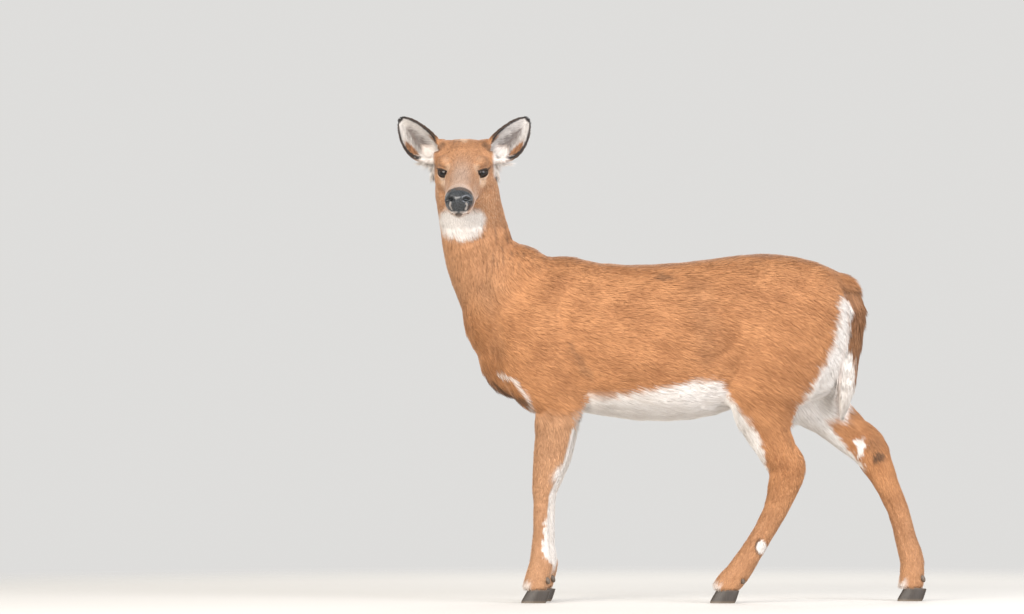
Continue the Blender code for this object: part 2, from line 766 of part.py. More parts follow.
def build():
    clear_scene()
    rest = fused_body()
    floor_block = block("floor_block", (-1, -1, -1), (1, 1, CORONET_HEIGHT))
    rest = cut(rest, floor_block, "DIFFERENCE")
    rest = add_feet(rest)
    rest = add_eyes(rest)
    rest = add_ears(rest)
    rest = part_tail(rest)
    rest = part_legs(rest)
    rest = part_head(rest)
    rest = part_neck(rest)
    add_object("trunk", largest_body(rest))
    stand_on_origin()


build()
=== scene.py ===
# %% [markdown]
# # A white-tailed doe, life size
#
# This script dresses a plain solid model of a young white-tailed doe. The solids give her
# outline and proportions. Here they get a skin, a coat of hair in locks, eyes with lids,
# a moist nose, ears and horn hooves. Every cell makes one thing and prints what it made.
#
# The solids come in through a small kit. It keeps them where they are, so every piece
# below takes its place from them: she stands facing -X, her left side faces -Y and +Z is up.

import math

import bmesh
import bpy
import numpy as np
from mathutils import Matrix, Vector


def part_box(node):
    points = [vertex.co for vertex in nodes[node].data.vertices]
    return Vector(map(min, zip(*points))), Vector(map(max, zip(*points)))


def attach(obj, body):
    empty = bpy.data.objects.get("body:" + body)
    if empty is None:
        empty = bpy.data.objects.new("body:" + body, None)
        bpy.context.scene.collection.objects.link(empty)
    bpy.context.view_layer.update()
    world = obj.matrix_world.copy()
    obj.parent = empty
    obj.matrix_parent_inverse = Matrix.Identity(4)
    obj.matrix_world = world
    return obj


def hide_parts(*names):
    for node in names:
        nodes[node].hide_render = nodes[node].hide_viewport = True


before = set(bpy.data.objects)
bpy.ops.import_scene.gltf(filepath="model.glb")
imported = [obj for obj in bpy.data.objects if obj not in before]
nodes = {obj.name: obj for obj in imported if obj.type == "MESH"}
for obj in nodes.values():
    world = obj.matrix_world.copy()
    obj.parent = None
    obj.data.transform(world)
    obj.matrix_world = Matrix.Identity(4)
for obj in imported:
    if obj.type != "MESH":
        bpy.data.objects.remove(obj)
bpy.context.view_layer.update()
rng = np.random.default_rng(9338)
MM = 0.001

# %% [markdown]
# ## Landmarks
#
# The head has a frame of its own, because it is turned towards the left and dips at the
# nose. Its origin is midway between the eyeballs, and its axes run ahead to the nose, to
# her left, and up through the forehead. The places of the eyes and of the middle plane are
# measured on the solids.

# %% Measure the solids
LEGS = ("fore_left", "fore_right", "hind_left", "hind_right")
HEAD_PITCH = math.radians(28.5)


def middle_of(name):
    low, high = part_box(name)
    return (low + high) / 2


def points_of(*names):
    """The corners of some solids as one array."""
    return np.concatenate([np.array([v.co[:] for v in nodes[name].data.vertices]) for name in names])


eye_centres = {side: middle_of("eye_" + side) for side in ("left", "right")}
eye_radius = (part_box("eye_left")[1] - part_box("eye_left")[0]).x / 2
head_origin = (eye_centres["left"] + eye_centres["right"]) / 2
middle_y = (middle_of("fore_left_cannon").y + middle_of("fore_right_cannon").y) / 2

head_left = (eye_centres["left"] - eye_centres["right"]).normalized()
level_ahead = Vector((head_left.y, -head_left.x, 0.0)).normalized()
head_ahead = level_ahead * math.cos(HEAD_PITCH) - Vector((0, 0, math.sin(HEAD_PITCH)))
head_up = head_ahead.cross(head_left)
head_axes = np.array((head_ahead, head_left, head_up))
print("eyes", round(2 * eye_radius / MM, 1), "mm across, middle plane at y =", round(middle_y, 4))


def in_head(points):
    """Points in the head's frame: ahead, to her left, up."""
    return (points - np.array(head_origin)) @ head_axes.T


def from_head(points):
    return np.asarray(points) @ head_axes + np.array(head_origin)


# %% [markdown]
# ## Soft steps
#
# Markings on an animal have soft edges, and so has the way its hair turns. Both are built
# from one smooth step between two values, and from the distance to a few drawn points.
# A waver adds the small unevenness of living things. It is seeded, so it is always the same.


# %% Smooth steps and distances
def ramp(value, start, end):
    """0 before start, 1 after end, and smooth between them. Start may be the larger one."""
    t = np.clip((value - start) / (end - start), 0.0, 1.0)
    return t * t * (3 - 2 * t)


def bump(value, middle, reach):
    """1 at the middle, and 0 from reach away on either side."""
    return 1 - ramp(np.abs(value - middle), 0.0, reach)


def bell(distance, width):
    """1 at distance 0, falling away as a bell does."""
    return np.exp(-((distance / width) ** 2))


def unit(vectors):
    return vectors / np.maximum(np.linalg.norm(vectors, axis=-1, keepdims=True), 1e-9)


def without(vectors, normals, part=1.0):
    """Vectors with their part along the normals taken out."""
    return vectors - normals * (vectors * normals).sum(axis=1, keepdims=True) * part


def distance_to_path(points, path):
    """How far each point is from a line drawn through a few corners, in as many axes as they have."""
    best = np.full(len(points), np.inf)
    for start, end in zip(np.array(path[:-1]), np.array(path[1:])):
        along = end - start
        t = np.clip((points - start) @ along / (along @ along), 0.0, 1.0)
        best = np.minimum(best, np.linalg.norm(points - start - t[:, None] * along, axis=1))
    return best


WAVES = 6
WAVES_LEVEL = 2.6


def waver(points, size, seed):
    """A smooth value between about -1 and 1 that changes over roughly this size."""
    turn = np.random.default_rng(seed)
    total = np.zeros(len(points))
    for _ in range(WAVES):
        direction = unit(turn.normal(size=3))
        phase = points @ direction * (2 * np.pi / size)
        total += np.sin(phase * turn.uniform(0.7, 1.5) + turn.uniform(0, 6.28))
    return total / WAVES_LEVEL


print("a soft step is", ramp(0.25, 0.0, 1.0), "a quarter of the way, and", ramp(0.5, 0.0, 1.0), "halfway")

# %% [markdown]
# ## The ears' shape
#
# An ear is a leaf rolled into a cup. Its own frame runs across, towards the opening, and
# along to the tip. For any point near it, this cell tells how far up the ear the point is,
# how near it is to the rim, and whether it is inside the cup. The black rims, the pale
# hair inside and the way that hair grows all come from these three numbers.

# %% Ear frames
EAR_LENGTH = 0.139
EAR_ROOT = np.array((-0.040, 0.0455, 0.0100))
EAR_LEAN = np.array((0.0965, 0.046, 0.0905))
EAR_OPENING = np.array((0.22, -1.0, 0.10))
EAR_BOW = 0.008
EAR_SET_BACK = 0.55
EAR_SHARES = (0.0, 0.12, 0.28, 0.50, 0.74, 0.90, 0.98, 1.0)
EAR_HALF_WIDTHS = (0.011, 0.022, 0.031, 0.0335, 0.0275, 0.017, 0.008, 0.0035)
EAR_WRAPS = (150, 130, 100, 76, 62, 52, 42, 36)


def ear_profile(share):
    """At a share of the ear's length: how far the cup wraps to each side, and its radius."""
    half_width = np.interp(share, EAR_SHARES, EAR_HALF_WIDTHS)
    wrap = np.radians(np.interp(share, EAR_SHARES, EAR_WRAPS))
    return wrap, half_width / np.sin(np.minimum(wrap, np.pi / 2))


class Ear:
    """One ear's frame, with side +1 for her left and -1 for her right."""

    def __init__(self, side):
        mirror = np.array((side, 1.0, 1.0))
        self.side = side
        self.root = from_head(EAR_ROOT * np.array((1.0, side, 1.0)))
        self.along = unit(EAR_LEAN * mirror)
        opening = EAR_OPENING * mirror
        self.opening = unit(opening - self.along * (opening @ self.along))
        self.across = np.cross(self.opening, self.along)
        self.axes = np.array((self.across, self.opening, self.along))

    def local(self, points):
        return (points - self.root) @ self.axes.T

    def read(self, points):
        """Share of the length, nearness to the rim (-1 and 1 at the two rims), and whether inside."""
        x, y, z = self.local(points).T
        share = z / EAR_LENGTH
        wrap, radius = ear_profile(share)
        x = x + self.side * EAR_BOW * np.sin(np.pi * np.clip(share, 0, 1))
        y = y - EAR_SET_BACK * radius
        return share, np.arctan2(x, -y) / wrap, np.hypot(x, y) < radius

    def around(self, points, across, opening, before):
        """Whether points are this near the ear's axis, and no further before its root than a share."""
        x, y, z = self.local(points).T
        return (np.abs(x) < across) & (np.abs(y) < opening) & (z > -before * EAR_LENGTH)

    def point(self, share, rim, depth=0.0):
        """The place on the cup at a share of the length and a share of the way to the rim."""
        wrap, radius = ear_profile(share)
        angle = rim * wrap
        x = np.sin(angle) * (radius - depth) - self.side * EAR_BOW * np.sin(np.pi * share)
        y = -np.cos(angle) * (radius - depth) + EAR_SET_BACK * radius
        local = np.stack(np.broadcast_arrays(x, y, EAR_LENGTH * share), axis=-1)
        return local @ self.axes + self.root


ears = {"left": Ear(1), "right": Ear(-1)}
print("ear tips at", [np.round(ear.point(1.0, 0.0), 3).tolist() for ear in ears.values()])

# %% [markdown]
# ## The skin
#
# A real hide has no joins between neck and trunk, so one mesh stands for all the solids of
# flesh. A voxel remesh melts them together: it fills the space with small cubes and wraps
# a new even surface round them. Each solid is swollen a little first, so that the hairline
# gaps between them close. A ball fills each ear's root, and another covers each eyeball, so
# that the lids can be shaped out of the same skin.

# %% Melt the solids into one skin
NOT_FLESH = ("eye", "claw")
VOXEL = 1.9 * MM
SWELLING = 0.9 * MM
EAR_PLUG_RADIUS = 19 * MM
EAR_PLUG_DEPTH = 16.5 * MM
EYE_COVER = 1.4 * MM
flesh = sorted(name for name in nodes if not any(word in name for word in NOT_FLESH))


def object_from(name, mesh):
    made = bpy.data.objects.new(name, mesh)
    bpy.context.scene.collection.objects.link(made)
    return made


def apply_modifiers(obj):
    """Bake the object's modifiers into its mesh."""
    graph = bpy.context.evaluated_depsgraph_get()
    made = bpy.data.meshes.new_from_object(obj.evaluated_get(graph))
    obj.modifiers.clear()
    old = obj.data
    obj.data = made
    bpy.data.meshes.remove(old)


def mesh_of(name, work):
    """The finished mesh of some bmesh work."""
    mesh = bpy.data.meshes.new(name)
    work.to_mesh(mesh)
    work.free()
    return mesh


def add_ball(work, centre, radius, subdivisions):
    place = Matrix.Translation(Vector(centre))
    bmesh.ops.create_icosphere(work, subdivisions=subdivisions, radius=radius, matrix=place)


def joined_flesh():
    """All solids of flesh in one mesh, swollen, with a plug at each ear's root and skin over each eye."""
    work = bmesh.new()
    for name in flesh:
        work.from_mesh(nodes[name].data)
    bmesh.ops.remove_doubles(work, verts=work.verts, dist=0.01 * MM)
    work.normal_update()
    for vert in work.verts:
        vert.co += vert.normal * SWELLING
    for ear in ears.values():
        add_ball(work, ear.point(0.02, 0.0, EAR_PLUG_DEPTH), EAR_PLUG_RADIUS, 3)
    for centre in eye_centres.values():
        add_ball(work, centre, eye_radius + EYE_COVER, 4)
    return mesh_of("flesh", work)


skin = object_from("skin", joined_flesh())
remesh = skin.modifiers.new("Melt", "REMESH")
remesh.mode = "VOXEL"
remesh.voxel_size = VOXEL
apply_modifiers(skin)
print("skin after the melt:", len(skin.data.vertices), "points")

# %% [markdown]
# ## Meshes as arrays
#
# The skin has hundreds of thousands of points, so they are read, smoothed and written back
# as whole arrays. Smoothing moves each point part of the way to the mean of its neighbours.


# %% Read, smooth and write a mesh
def read(items, name, kind=np.float32, width=3):
    """One property of many mesh items, as rows of numbers."""
    flat = np.empty(len(items) * width, kind)
    items.foreach_get(name, flat)
    return flat.reshape(-1, width)


def read_points(mesh):
    return read(mesh.vertices, "co").astype(float)


def read_normals(mesh):
    return read(mesh.vertices, "normal").astype(float)


def write_points(mesh, points):
    mesh.vertices.foreach_set("co", points.astype(np.float32).ravel())
    mesh.update()


def edges_of(mesh):
    return read(mesh.edges, "vertices", np.int32, 2)


def smoothed(values, ends, steps, strength=0.6):
    """Values at the points of a mesh, averaged with their neighbours a number of times."""
    count = len(values)
    values = values.reshape(count, -1).copy()
    degree = np.maximum(np.bincount(ends.ravel(), minlength=count), 1)
    strength = np.broadcast_to(strength, count)
    for _ in range(steps):
        for axis in range(values.shape[1]):
            column = values[:, axis]
            total = np.bincount(ends[:, 0], column[ends[:, 1]], count)
            total += np.bincount(ends[:, 1], column[ends[:, 0]], count)
            values[:, axis] = column + strength * (total / degree - column)
    return values.squeeze()


print("skin edges to smooth along:", len(edges_of(skin.data)))

# %% [markdown]
# ## Which part of her a point is on
#
# Later steps treat the head, the ears, the tail and the bare nose differently. Each part is
# a soft share between 0 and 1, worked out from where a point is.

# %% Shares of the head, ears, tail and nose
TAIL_TOP, TAIL_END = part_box("tail")[1].z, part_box("tail")[0].z
TAIL_X = middle_of("tail").x
PAD_HALF_WIDTH = 30.0 * MM
PAD_MIDDLE = 4.0 * MM
PAD_ABOVE = 21.5 * MM
PAD_BELOW = 20.0 * MM


def near_head(points):
    """1 on the head and ears, 0 on the neck and below."""
    ahead, side, up = in_head(points).T
    return ramp(ahead + 0.35 * up, -0.125, -0.085) * ramp(points[:, 2], 0.80, 0.86)


def near_ears(points):
    """1 on the free part of the ears."""
    most = np.zeros(len(points))
    for ear in ears.values():
        x, y, z = ear.local(points).T
        close = ramp(np.abs(x), 0.080, 0.062) * ramp(np.abs(y), 0.080, 0.062)
        most = np.maximum(most, close * ramp(z / EAR_LENGTH, 0.10, 0.26))
    return most


def on_tail(points):
    """1 on the free part of the tail, which hangs behind the rump."""
    x, y, z = points.T
    behind = ramp(x, TAIL_X - 0.034, TAIL_X - 0.016)
    narrow = ramp(np.abs(y - middle_y), 0.055, 0.042)
    return behind * narrow * ramp(z, TAIL_TOP, TAIL_TOP - 0.03) * ramp(z, 0.40, 0.415)


def from_pad(side, up):
    """How far a point is from the middle of the nose pad as seen from ahead: 1 at its edge."""
    height = np.where(up > PAD_MIDDLE, PAD_ABOVE, PAD_BELOW)
    return np.hypot(side / PAD_HALF_WIDTH, (up - PAD_MIDDLE) / height)


def nose_pad(points):
    """1 on the bare pad round the nostrils, and 0 on hair."""
    ahead, side, up = in_head(points).T
    near = from_pad(side, up) ** 2 - 0.6 * ramp(ahead, 0.130, 0.150)
    return ramp(near, 1.15, 0.90) * ramp(ahead, 0.117, 0.123)


melted_points = read_points(skin.data)
for part in (near_head, near_ears, on_tail, nose_pad):
    print(part.__name__, "covers", int(part(melted_points).sum()), "points")

# %% [markdown]
# ## How deep the coat is
#
# The solids reach the tips of the hair, so the skin lies inside them by the thickness of
# the coat as it lies flat: about 5 mm on the body, 2 mm on the lower legs and the face,
# nothing on the bare nose and hardly anything on the ears. The tail is mostly hair.


# %% Coat depth
def coat_depth(points):
    """The thickness of the lying coat, in metres."""
    z = points[:, 2]
    depth = np.full(len(points), 5.0)
    for other, share in (
        (2.2, ramp(z, 0.46, 0.30)),
        (1.5, ramp(z, 0.16, 0.06)),
        (1.7, near_head(points)),
        (0.35, near_ears(points)),
        (2.0 + 9.0 * ramp(z, TAIL_END + 0.03, TAIL_END + 0.14), on_tail(points)),
        (0.0, nose_pad(points)),
    ):
        depth += (other - depth) * share
    return depth * MM


print("coat", round(float(coat_depth(melted_points).mean()) / MM, 1), "mm deep on average")

# %% [markdown]
# ## Settling the skin
#
# Smoothing takes away the facets, more on the body than on the head and ears. It also
# shrinks the form, so the distance back to the solids is measured and put right, less the
# depth of the coat.

# %% Settle the skin
SMOOTH_STEPS = 30


def distance_outside(mesh, target):
    """Signed distance of each point of the mesh from the target, positive outside it."""
    probe = object_from("probe", mesh.copy())
    wrap = probe.modifiers.new("Wrap", "SHRINKWRAP")
    wrap.wrap_method = "NEAREST_SURFACEPOINT"
    wrap.target = target
    apply_modifiers(probe)
    offset = read_points(mesh) - read_points(probe.data)
    bpy.data.objects.remove(probe)
    return (offset * read_normals(mesh)).sum(axis=1)


def settle_skin():
    """Smooth away the facets, then bring the skin to the coat's depth inside the solids."""
    target = object_from("target", joined_flesh())
    ends = edges_of(skin.data)
    points = read_points(skin.data)
    strength = 0.62 * (1 - 0.5 * near_head(points)) * (1 - 0.7 * near_ears(points))
    write_points(skin.data, smoothed(points, ends, SMOOTH_STEPS, strength))
    outside = smoothed(distance_outside(skin.data, target), ends, SMOOTH_STEPS)
    points = read_points(skin.data)
    inward = outside - SWELLING + coat_depth(points)
    points -= read_normals(skin.data) * inward[:, None]
    write_points(skin.data, smoothed(points, ends, 2, 0.4))
    bpy.data.objects.remove(target)
    return float(inward.mean())


print("skin settled, moved in by", round(settle_skin() / MM, 2), "mm on average")

# %% [markdown]
# ## Where the skin needs fine detail
#
# A sculptor keeps the mesh dense only where there is something small to show. The body is
# under hair, so its skin is thinned out. The head stays fine, and the skin round the eyes,
# the nostrils and the mouth is divided once or twice more before it is shaped.

# %% Thin out the body, refine the face
BODY_TRIANGLES = 84000


def thin_out_body():
    """Collapse edges everywhere but on the head, down to a number of triangles."""
    keep = near_head(read_points(skin.data)) > 0.02
    group = skin.vertex_groups.new(name="loose")
    group.add(np.flatnonzero(~keep).tolist(), 1.0, "REPLACE")
    skin.data.calc_loop_triangles()
    total = len(skin.data.loop_triangles)
    kept = int(keep.sum()) * 2
    thin = skin.modifiers.new("Thin out", "DECIMATE")
    thin.vertex_group = "loose"
    thin.vertex_group_factor = 0.0
    thin.ratio = min(1.0, (kept + BODY_TRIANGLES) / total)
    apply_modifiers(skin)
    skin.vertex_groups.clear()
    print("skin:", total, "triangles thinned to", len(skin.data.polygons), "with", kept, "on the head")


def refine(near):
    """Divide every edge whose two ends are near something."""
    work = bmesh.new()
    work.from_mesh(skin.data)
    inside = near(np.array([vert.co[:] for vert in work.verts]))
    work.verts.ensure_lookup_table()
    chosen = [edge for edge in work.edges if all(inside[vert.index] for vert in edge.verts)]
    bmesh.ops.subdivide_edges(work, edges=chosen, cuts=1, smooth=0.0, use_grid_fill=True)
    bmesh.ops.triangulate(work, faces=[face for face in work.faces if len(face.verts) > 4])
    work.to_mesh(skin.data)
    work.free()
    skin.data.update()


def near_eyes(reach):
    def test(points):
        gaps = [np.linalg.norm(points - np.array(centre), axis=1) for centre in eye_centres.values()]
        return np.minimum(*gaps) < reach

    return test


def near_nose(points):
    ahead, side, up = in_head(points).T
    return (ahead > 0.118) & (up > -0.040) & near_head(points).astype(bool)


thin_out_body()
for near in (near_eyes(0.029), near_nose, near_eyes(0.0245)):
    refine(near)
print("skin after refining:", len(skin.data.vertices), "points,", len(skin.data.polygons), "faces")

# %% [markdown]
# ## Colours and shader nodes
#
# Colours are picked as they look on a screen and turned to linear light by one function.
# One more function adds any shader node, sets it and wires it, so each material reads as a
# short list of what happens to its colour, roughness and relief. A Mix node's sockets for
# colours are called by number, because their names repeat. Numbers stored on a mesh's
# points carry the markings to the materials.


# %% Helpers for materials
SHARE, FIRST, SECOND, MIXED = 0, 6, 7, 2


def srgb(code):
    """A hex colour as linear red, green, blue and alpha."""
    channels = [int(code[i : i + 2], 16) / 255 for i in (1, 3, 5)]
    linear = [c / 12.92 if c <= 0.04045 else ((c + 0.055) / 1.055) ** 2.4 for c in channels]
    return (*linear, 1.0)


def wire(tree, node, inputs):
    """Set or link a node's sockets. A hex code is set as a colour."""
    for name, value in inputs.items():
        if isinstance(value, bpy.types.NodeSocket):
            tree.links.new(value, node.inputs[name])
        else:
            node.inputs[name].default_value = srgb(value) if isinstance(value, str) else value


def add(tree, kind, inputs=None, **settings):
    """Adds a node, sets its properties, sets or links its sockets, and gives its outputs."""
    made = tree.nodes.new(kind)
    for name, value in settings.items():
        setattr(made, name, value)
    wire(tree, made, inputs or {})
    return made.outputs


def new_material(name):
    material = bpy.data.materials.new(name)
    material.use_nodes = True
    return material, material.node_tree, material.node_tree.nodes["Principled BSDF"]


def soft_mark(tree, colour, value, start, end, over):
    """Lay one colour over another where a value passes a smooth step."""
    limits = {"Value": value, "From Min": start, "From Max": end}
    share = add(tree, "ShaderNodeMapRange", limits, interpolation_type="SMOOTHSTEP")["Result"]
    return add(tree, "ShaderNodeMix", {SHARE: share, FIRST: colour, SECOND: over}, data_type="RGBA")[MIXED]


def keep_values(mesh, **values):
    """Store one number for each point of a mesh under each name."""
    for name, numbers in values.items():
        layer = mesh.attributes.get(name) or mesh.attributes.new(name, "FLOAT", "POINT")
        layer.data.foreach_set("value", np.asarray(numbers, np.float32))


print("screen grey #808080 is", round(srgb("#808080")[0], 3), "in linear light")

# %% [markdown]
# ## The openings of the eyes
#
# A deer's eyes look forwards and out to the sides. Each has a frame of its own: the way it
# looks, the way to the nose, and up. The opening between the lids is an almond on the
# eyeball. For any point, this cell tells how far outside or inside the almond's edge it is.

# %% Eye frames
LID_LENGTH = 1.14
LID_ABOVE = 0.50
LID_BELOW = 0.57
LID_THICKNESS = 1.3 * MM
GAZE = np.array((0.86, 0.41, 0.25))
NOSE_WARD = np.array((0.45, -0.87, -0.09))
EDGE_SLANT = 0.86


def lid_height(along, most):
    """How high the lid stands over the middle line: rounder behind, pointed towards the nose."""
    share = np.clip(np.abs(along) / LID_LENGTH, 0, 1)
    power = np.where(along > 0, 0.80, 0.50)
    return most * (1 - share**2) ** power


class Eye:
    """One eye's frame, with side +1 for her left and -1 for her right."""

    def __init__(self, side, centre):
        mirror = np.array((1.0, side, 1.0))
        self.centre = np.array(centre)
        self.gaze = unit(GAZE * mirror @ head_axes)
        nose_ward = NOSE_WARD * mirror @ head_axes
        self.nose_ward = unit(nose_ward - self.gaze * (nose_ward @ self.gaze))
        up = np.cross(self.nose_ward, self.gaze)
        self.up = up if up @ head_axes[2] > 0 else -up

    def read(self, points):
        """Angles towards the nose and up, how far out of the opening, and how far from the middle."""
        reach = points - self.centre
        distance = np.linalg.norm(reach, axis=1)
        way = reach / distance[:, None]
        along = np.arctan2(way @ self.nose_ward, way @ self.gaze)
        height = np.arcsin(np.clip(way @ self.up, -1, 1))
        edge = np.where(height > 0, lid_height(along, LID_ABOVE), lid_height(along, LID_BELOW))
        past_corner = np.hypot(np.maximum(np.abs(along) - LID_LENGTH, 0), height)
        past_lid = (np.abs(height) - edge) * EDGE_SLANT
        margin = np.where(np.abs(along) > LID_LENGTH, past_corner, past_lid)
        return along, height, margin * eye_radius, distance

    def rim(self, turn, lift):
        """The point of the lid's edge at a turn round the opening, lifted off the eyeball's middle."""
        along = LID_LENGTH * math.cos(turn)
        most = LID_ABOVE if math.sin(turn) > 0 else -LID_BELOW
        height = math.copysign(float(lid_height(np.array(along), abs(most))), most)
        level = math.cos(height)
        way = self.gaze * (level * math.cos(along)) + self.nose_ward * (level * math.sin(along))
        return self.centre + (way + self.up * math.sin(height)) * lift


eyes = {side: Eye(1 if side == "left" else -1, eye_centres[side]) for side in ("left", "right")}
print("each eye opens", round(math.degrees(LID_ABOVE + LID_BELOW)), "degrees from lid to lid")

# %% [markdown]
# ## Strokes and swells of the face
#
# The nostrils, the mouth and the tear grooves are short lines in the head's frame. The skin
# is pressed in along them, as a sculptor would with a wire tool. Small swells raise the
# wings of the nose, the chin, the brows and the bridge, and a few wide ones hollow the
# cheeks. Each line has a depth and a width. Each swell has a place, a width and a height.

# %% Lines and swells of the face
unshaped = in_head(read_points(skin.data))


def mirrored(path):
    return [[(ahead, side * mirror, up) for ahead, side, up in path] for mirror in (1, -1)]


def on_skin(*path):
    """The path moved along the head's axis to where the skin is."""
    found = []
    for point in path:
        gap = ((unshaped - np.array(point)) ** 2) @ (0.2, 4.0, 4.0)
        found.append((float(unshaped[np.argmin(gap), 0]), *point[1:]))
    return found


NOSTRIL = on_skin((0.146, 0.0150, 0.0115), (0.142, 0.0205, 0.0115), (0.139, 0.0250, 0.0070))
NOSTRIL_SLIT = on_skin((0.139, 0.0250, 0.0070), (0.136, 0.0275, -0.0005))
NOSTRIL_RIM = on_skin((0.145, 0.0178, 0.0040), (0.145, 0.0185, -0.0030), (0.143, 0.0155, -0.0120))
LIP_EDGE = on_skin((0.148, 0.0050, -0.0195), (0.144, 0.0120, -0.0190), (0.138, 0.0200, -0.0165))
MOUTH = on_skin(
    (0.150, 0.0, -0.0255),
    (0.143, 0.0120, -0.0260),
    (0.128, 0.0235, -0.0270),
    (0.100, 0.0300, -0.0290),
    (0.072, 0.0325, -0.0310),
    (0.055, 0.0335, -0.0290),
)
TEAR_GROOVE = on_skin((0.0185, 0.0400, -0.0060), (0.028, 0.0370, -0.0100), (0.036, 0.0350, -0.0120))
PHILTRUM = on_skin((0.151, 0.0, 0.002), (0.150, 0.0, -0.010), (0.148, 0.0, -0.024))
STROKES = [
    (path, depth * MM, width * MM)
    for line, depth, width in (
        (NOSTRIL, 7.0, 3.6),
        (NOSTRIL_SLIT, 3.0, 2.0),
        (MOUTH, 2.6, 1.8),
        (TEAR_GROOVE, 1.8, 3.0),
        (PHILTRUM, 1.0, 1.8),
    )
    for path in mirrored(line)
]
WING_OF_NOSE, NOSE_TIP, NOSE_SIDE = (0.1420, 0.0170, -0.0050), (0.1420, 0.0, 0.0080), (0.125, 0.0245, 0.012)
CHIN, BROW, LOWER_LID = (0.135, 0.0, -0.0340), (0.002, 0.0370, 0.0235), (0.000, 0.0440, -0.0235)
BRIDGE, STOP = (0.085, 0.0, 0.0260), (0.030, 0.0, 0.0330)
CHEEK_HOLLOW, TEAR_HOLLOW = (0.070, 0.0300, -0.0060), (0.028, 0.0380, -0.0260)
SWELLS = (
    (WING_OF_NOSE, 6 * MM, 1.4 * MM),
    (NOSE_TIP, 11 * MM, 0.6 * MM),
    (NOSE_SIDE, 8 * MM, 1.0 * MM),
    (CHIN, 11 * MM, 2.0 * MM),
    (BROW, 10 * MM, 1.6 * MM),
    (LOWER_LID, 11 * MM, 1.0 * MM),
    (BRIDGE, 16 * MM, 1.2 * MM),
    (STOP, 18 * MM, -1.2 * MM),
    (CHEEK_HOLLOW, 16 * MM, -1.6 * MM),
    (TEAR_HOLLOW, 13 * MM, -1.2 * MM),
)
print(len(STROKES), "strokes and", len(SWELLS), "swells on the face")

# %% [markdown]
# ## Muscles and tendons
#
# Under the short coat the shoulder, the flank, the thigh and the tendons of the legs show
# as shallow hollows and swells. Each is a line seen from the side, as X and Z, with a width
# and a depth. A depth under 0 is a swell.

# %% Lines of the body
BODY_STROKES = (
    ([(-0.240, 0.640), (-0.205, 0.561), (-0.183, 0.525), (-0.161, 0.495)], 13 * MM, 3.2 * MM),
    ([(0.075, 0.700), (0.092, 0.620), (0.096, 0.550)], 34 * MM, 5.0 * MM),
    ([(0.100, 0.530), (0.135, 0.560), (0.165, 0.620)], 14 * MM, 2.0 * MM),
    ([(-0.412, 0.800), (-0.395, 0.720), (-0.376, 0.638), (-0.360, 0.560)], 13 * MM, 3.5 * MM),
    ([(-0.260, 0.222), (-0.262, 0.120)], 3.5 * MM, 1.6 * MM),
    ([(0.244, 0.222), (0.219, 0.150), (0.192, 0.105)], 3.5 * MM, 1.8 * MM),
    ([(0.498, 0.222), (0.526, 0.150), (0.540, 0.105)], 3.5 * MM, 1.8 * MM),
    ([(0.262, 0.395), (0.285, 0.340)], 6 * MM, 2.6 * MM),
    ([(0.410, 0.412), (0.450, 0.366)], 6 * MM, 2.6 * MM),
    ([(-0.290, 0.585), (-0.300, 0.570)], 42 * MM, -5.0 * MM),
    ([(0.225, 0.560), (0.250, 0.500)], 48 * MM, -4.0 * MM),
    ([(-0.266, 0.262), (-0.266, 0.245)], 11 * MM, -1.4 * MM),
)


def press_body(points, normals):
    """Hollows and muscles of the flanks and legs."""
    depth = np.zeros(len(points))
    for path, width, most in BODY_STROKES:
        depth += most * bell(distance_to_path(points[:, [0, 2]], path), width)
    depth *= ramp(np.abs(normals[:, 1]), 0.25, 0.65) * (1 - near_head(points)) * (1 - on_tail(points))
    return points - normals * depth[:, None]


write_points(skin.data, press_body(read_points(skin.data), read_normals(skin.data)))
print(len(BODY_STROKES), "strokes on the body")

# %% [markdown]
# ## Shaping the face
#
# The skin near the eyes is evened first, and the strokes and swells are pressed into it.
# Then the skin round each almond is drawn on to the eyeball, as thick as a lid, with a
# crease above it, and the skin inside the almond is pushed in behind the ball.

# %% Shape the face
LID_CREASE = 0.9 * MM
BEHIND_BALL = 3.0 * MM


def press_face(points, normals):
    """Press the skin in along the strokes and raise it at the swells."""
    local = in_head(points)
    depth = np.zeros(len(points))
    for path, most, width in STROKES:
        depth = np.maximum(depth, most * bell(distance_to_path(local, path), width))
    lift = np.zeros(len(points))
    for (ahead, side, up), width, most in SWELLS:
        for mirror in (1, -1) if side else (1,):
            gap = np.linalg.norm(local - np.array((ahead, mirror * side, up)), axis=1)
            lift += most * bell(gap, width)
    return points + normals * (lift - depth)[:, None]


def shape_lids(points):
    """Draw the skin on to each eyeball round its almond."""
    for eye in eyes.values():
        along, height, margin, distance = eye.read(points)
        crease = LID_CREASE * bump(margin, 5.0 * MM, 1.8 * MM) * ramp(height, 0.1, 0.4)
        target = eye_radius + LID_THICKNESS + 0.10 * np.clip(margin, 0, 0.01) - crease
        target = np.where(margin < 0, eye_radius - BEHIND_BALL, target)
        fade = ramp(margin, 9.5 * MM, 3.5 * MM) * ramp(distance, eye_radius * 1.9, eye_radius * 1.5)
        front = ramp((points - eye.centre) @ eye.gaze, -4 * MM, 2 * MM)
        moved = (target - distance) * fade * front
        points = points + (points - eye.centre) / distance[:, None] * moved[:, None]
    return points


points = read_points(skin.data)
evened = smoothed(points, edges_of(skin.data), 6, 0.5 * near_eyes(0.03)(points))
write_points(skin.data, press_face(evened, read_normals(skin.data)))
write_points(skin.data, shape_lids(read_points(skin.data)))
print("lids, nostrils and mouth shaped")

# %% [markdown]
# ## The eyes
#
# A deer's eye is a large dark globe. The iris is brown, nearly black at its edge, with a
# wide level pupil, and a clear wet cornea bulges over it. One mesh is enough: its skin is
# the cornea, and the iris and pupil are colours read from two angles kept on its points.

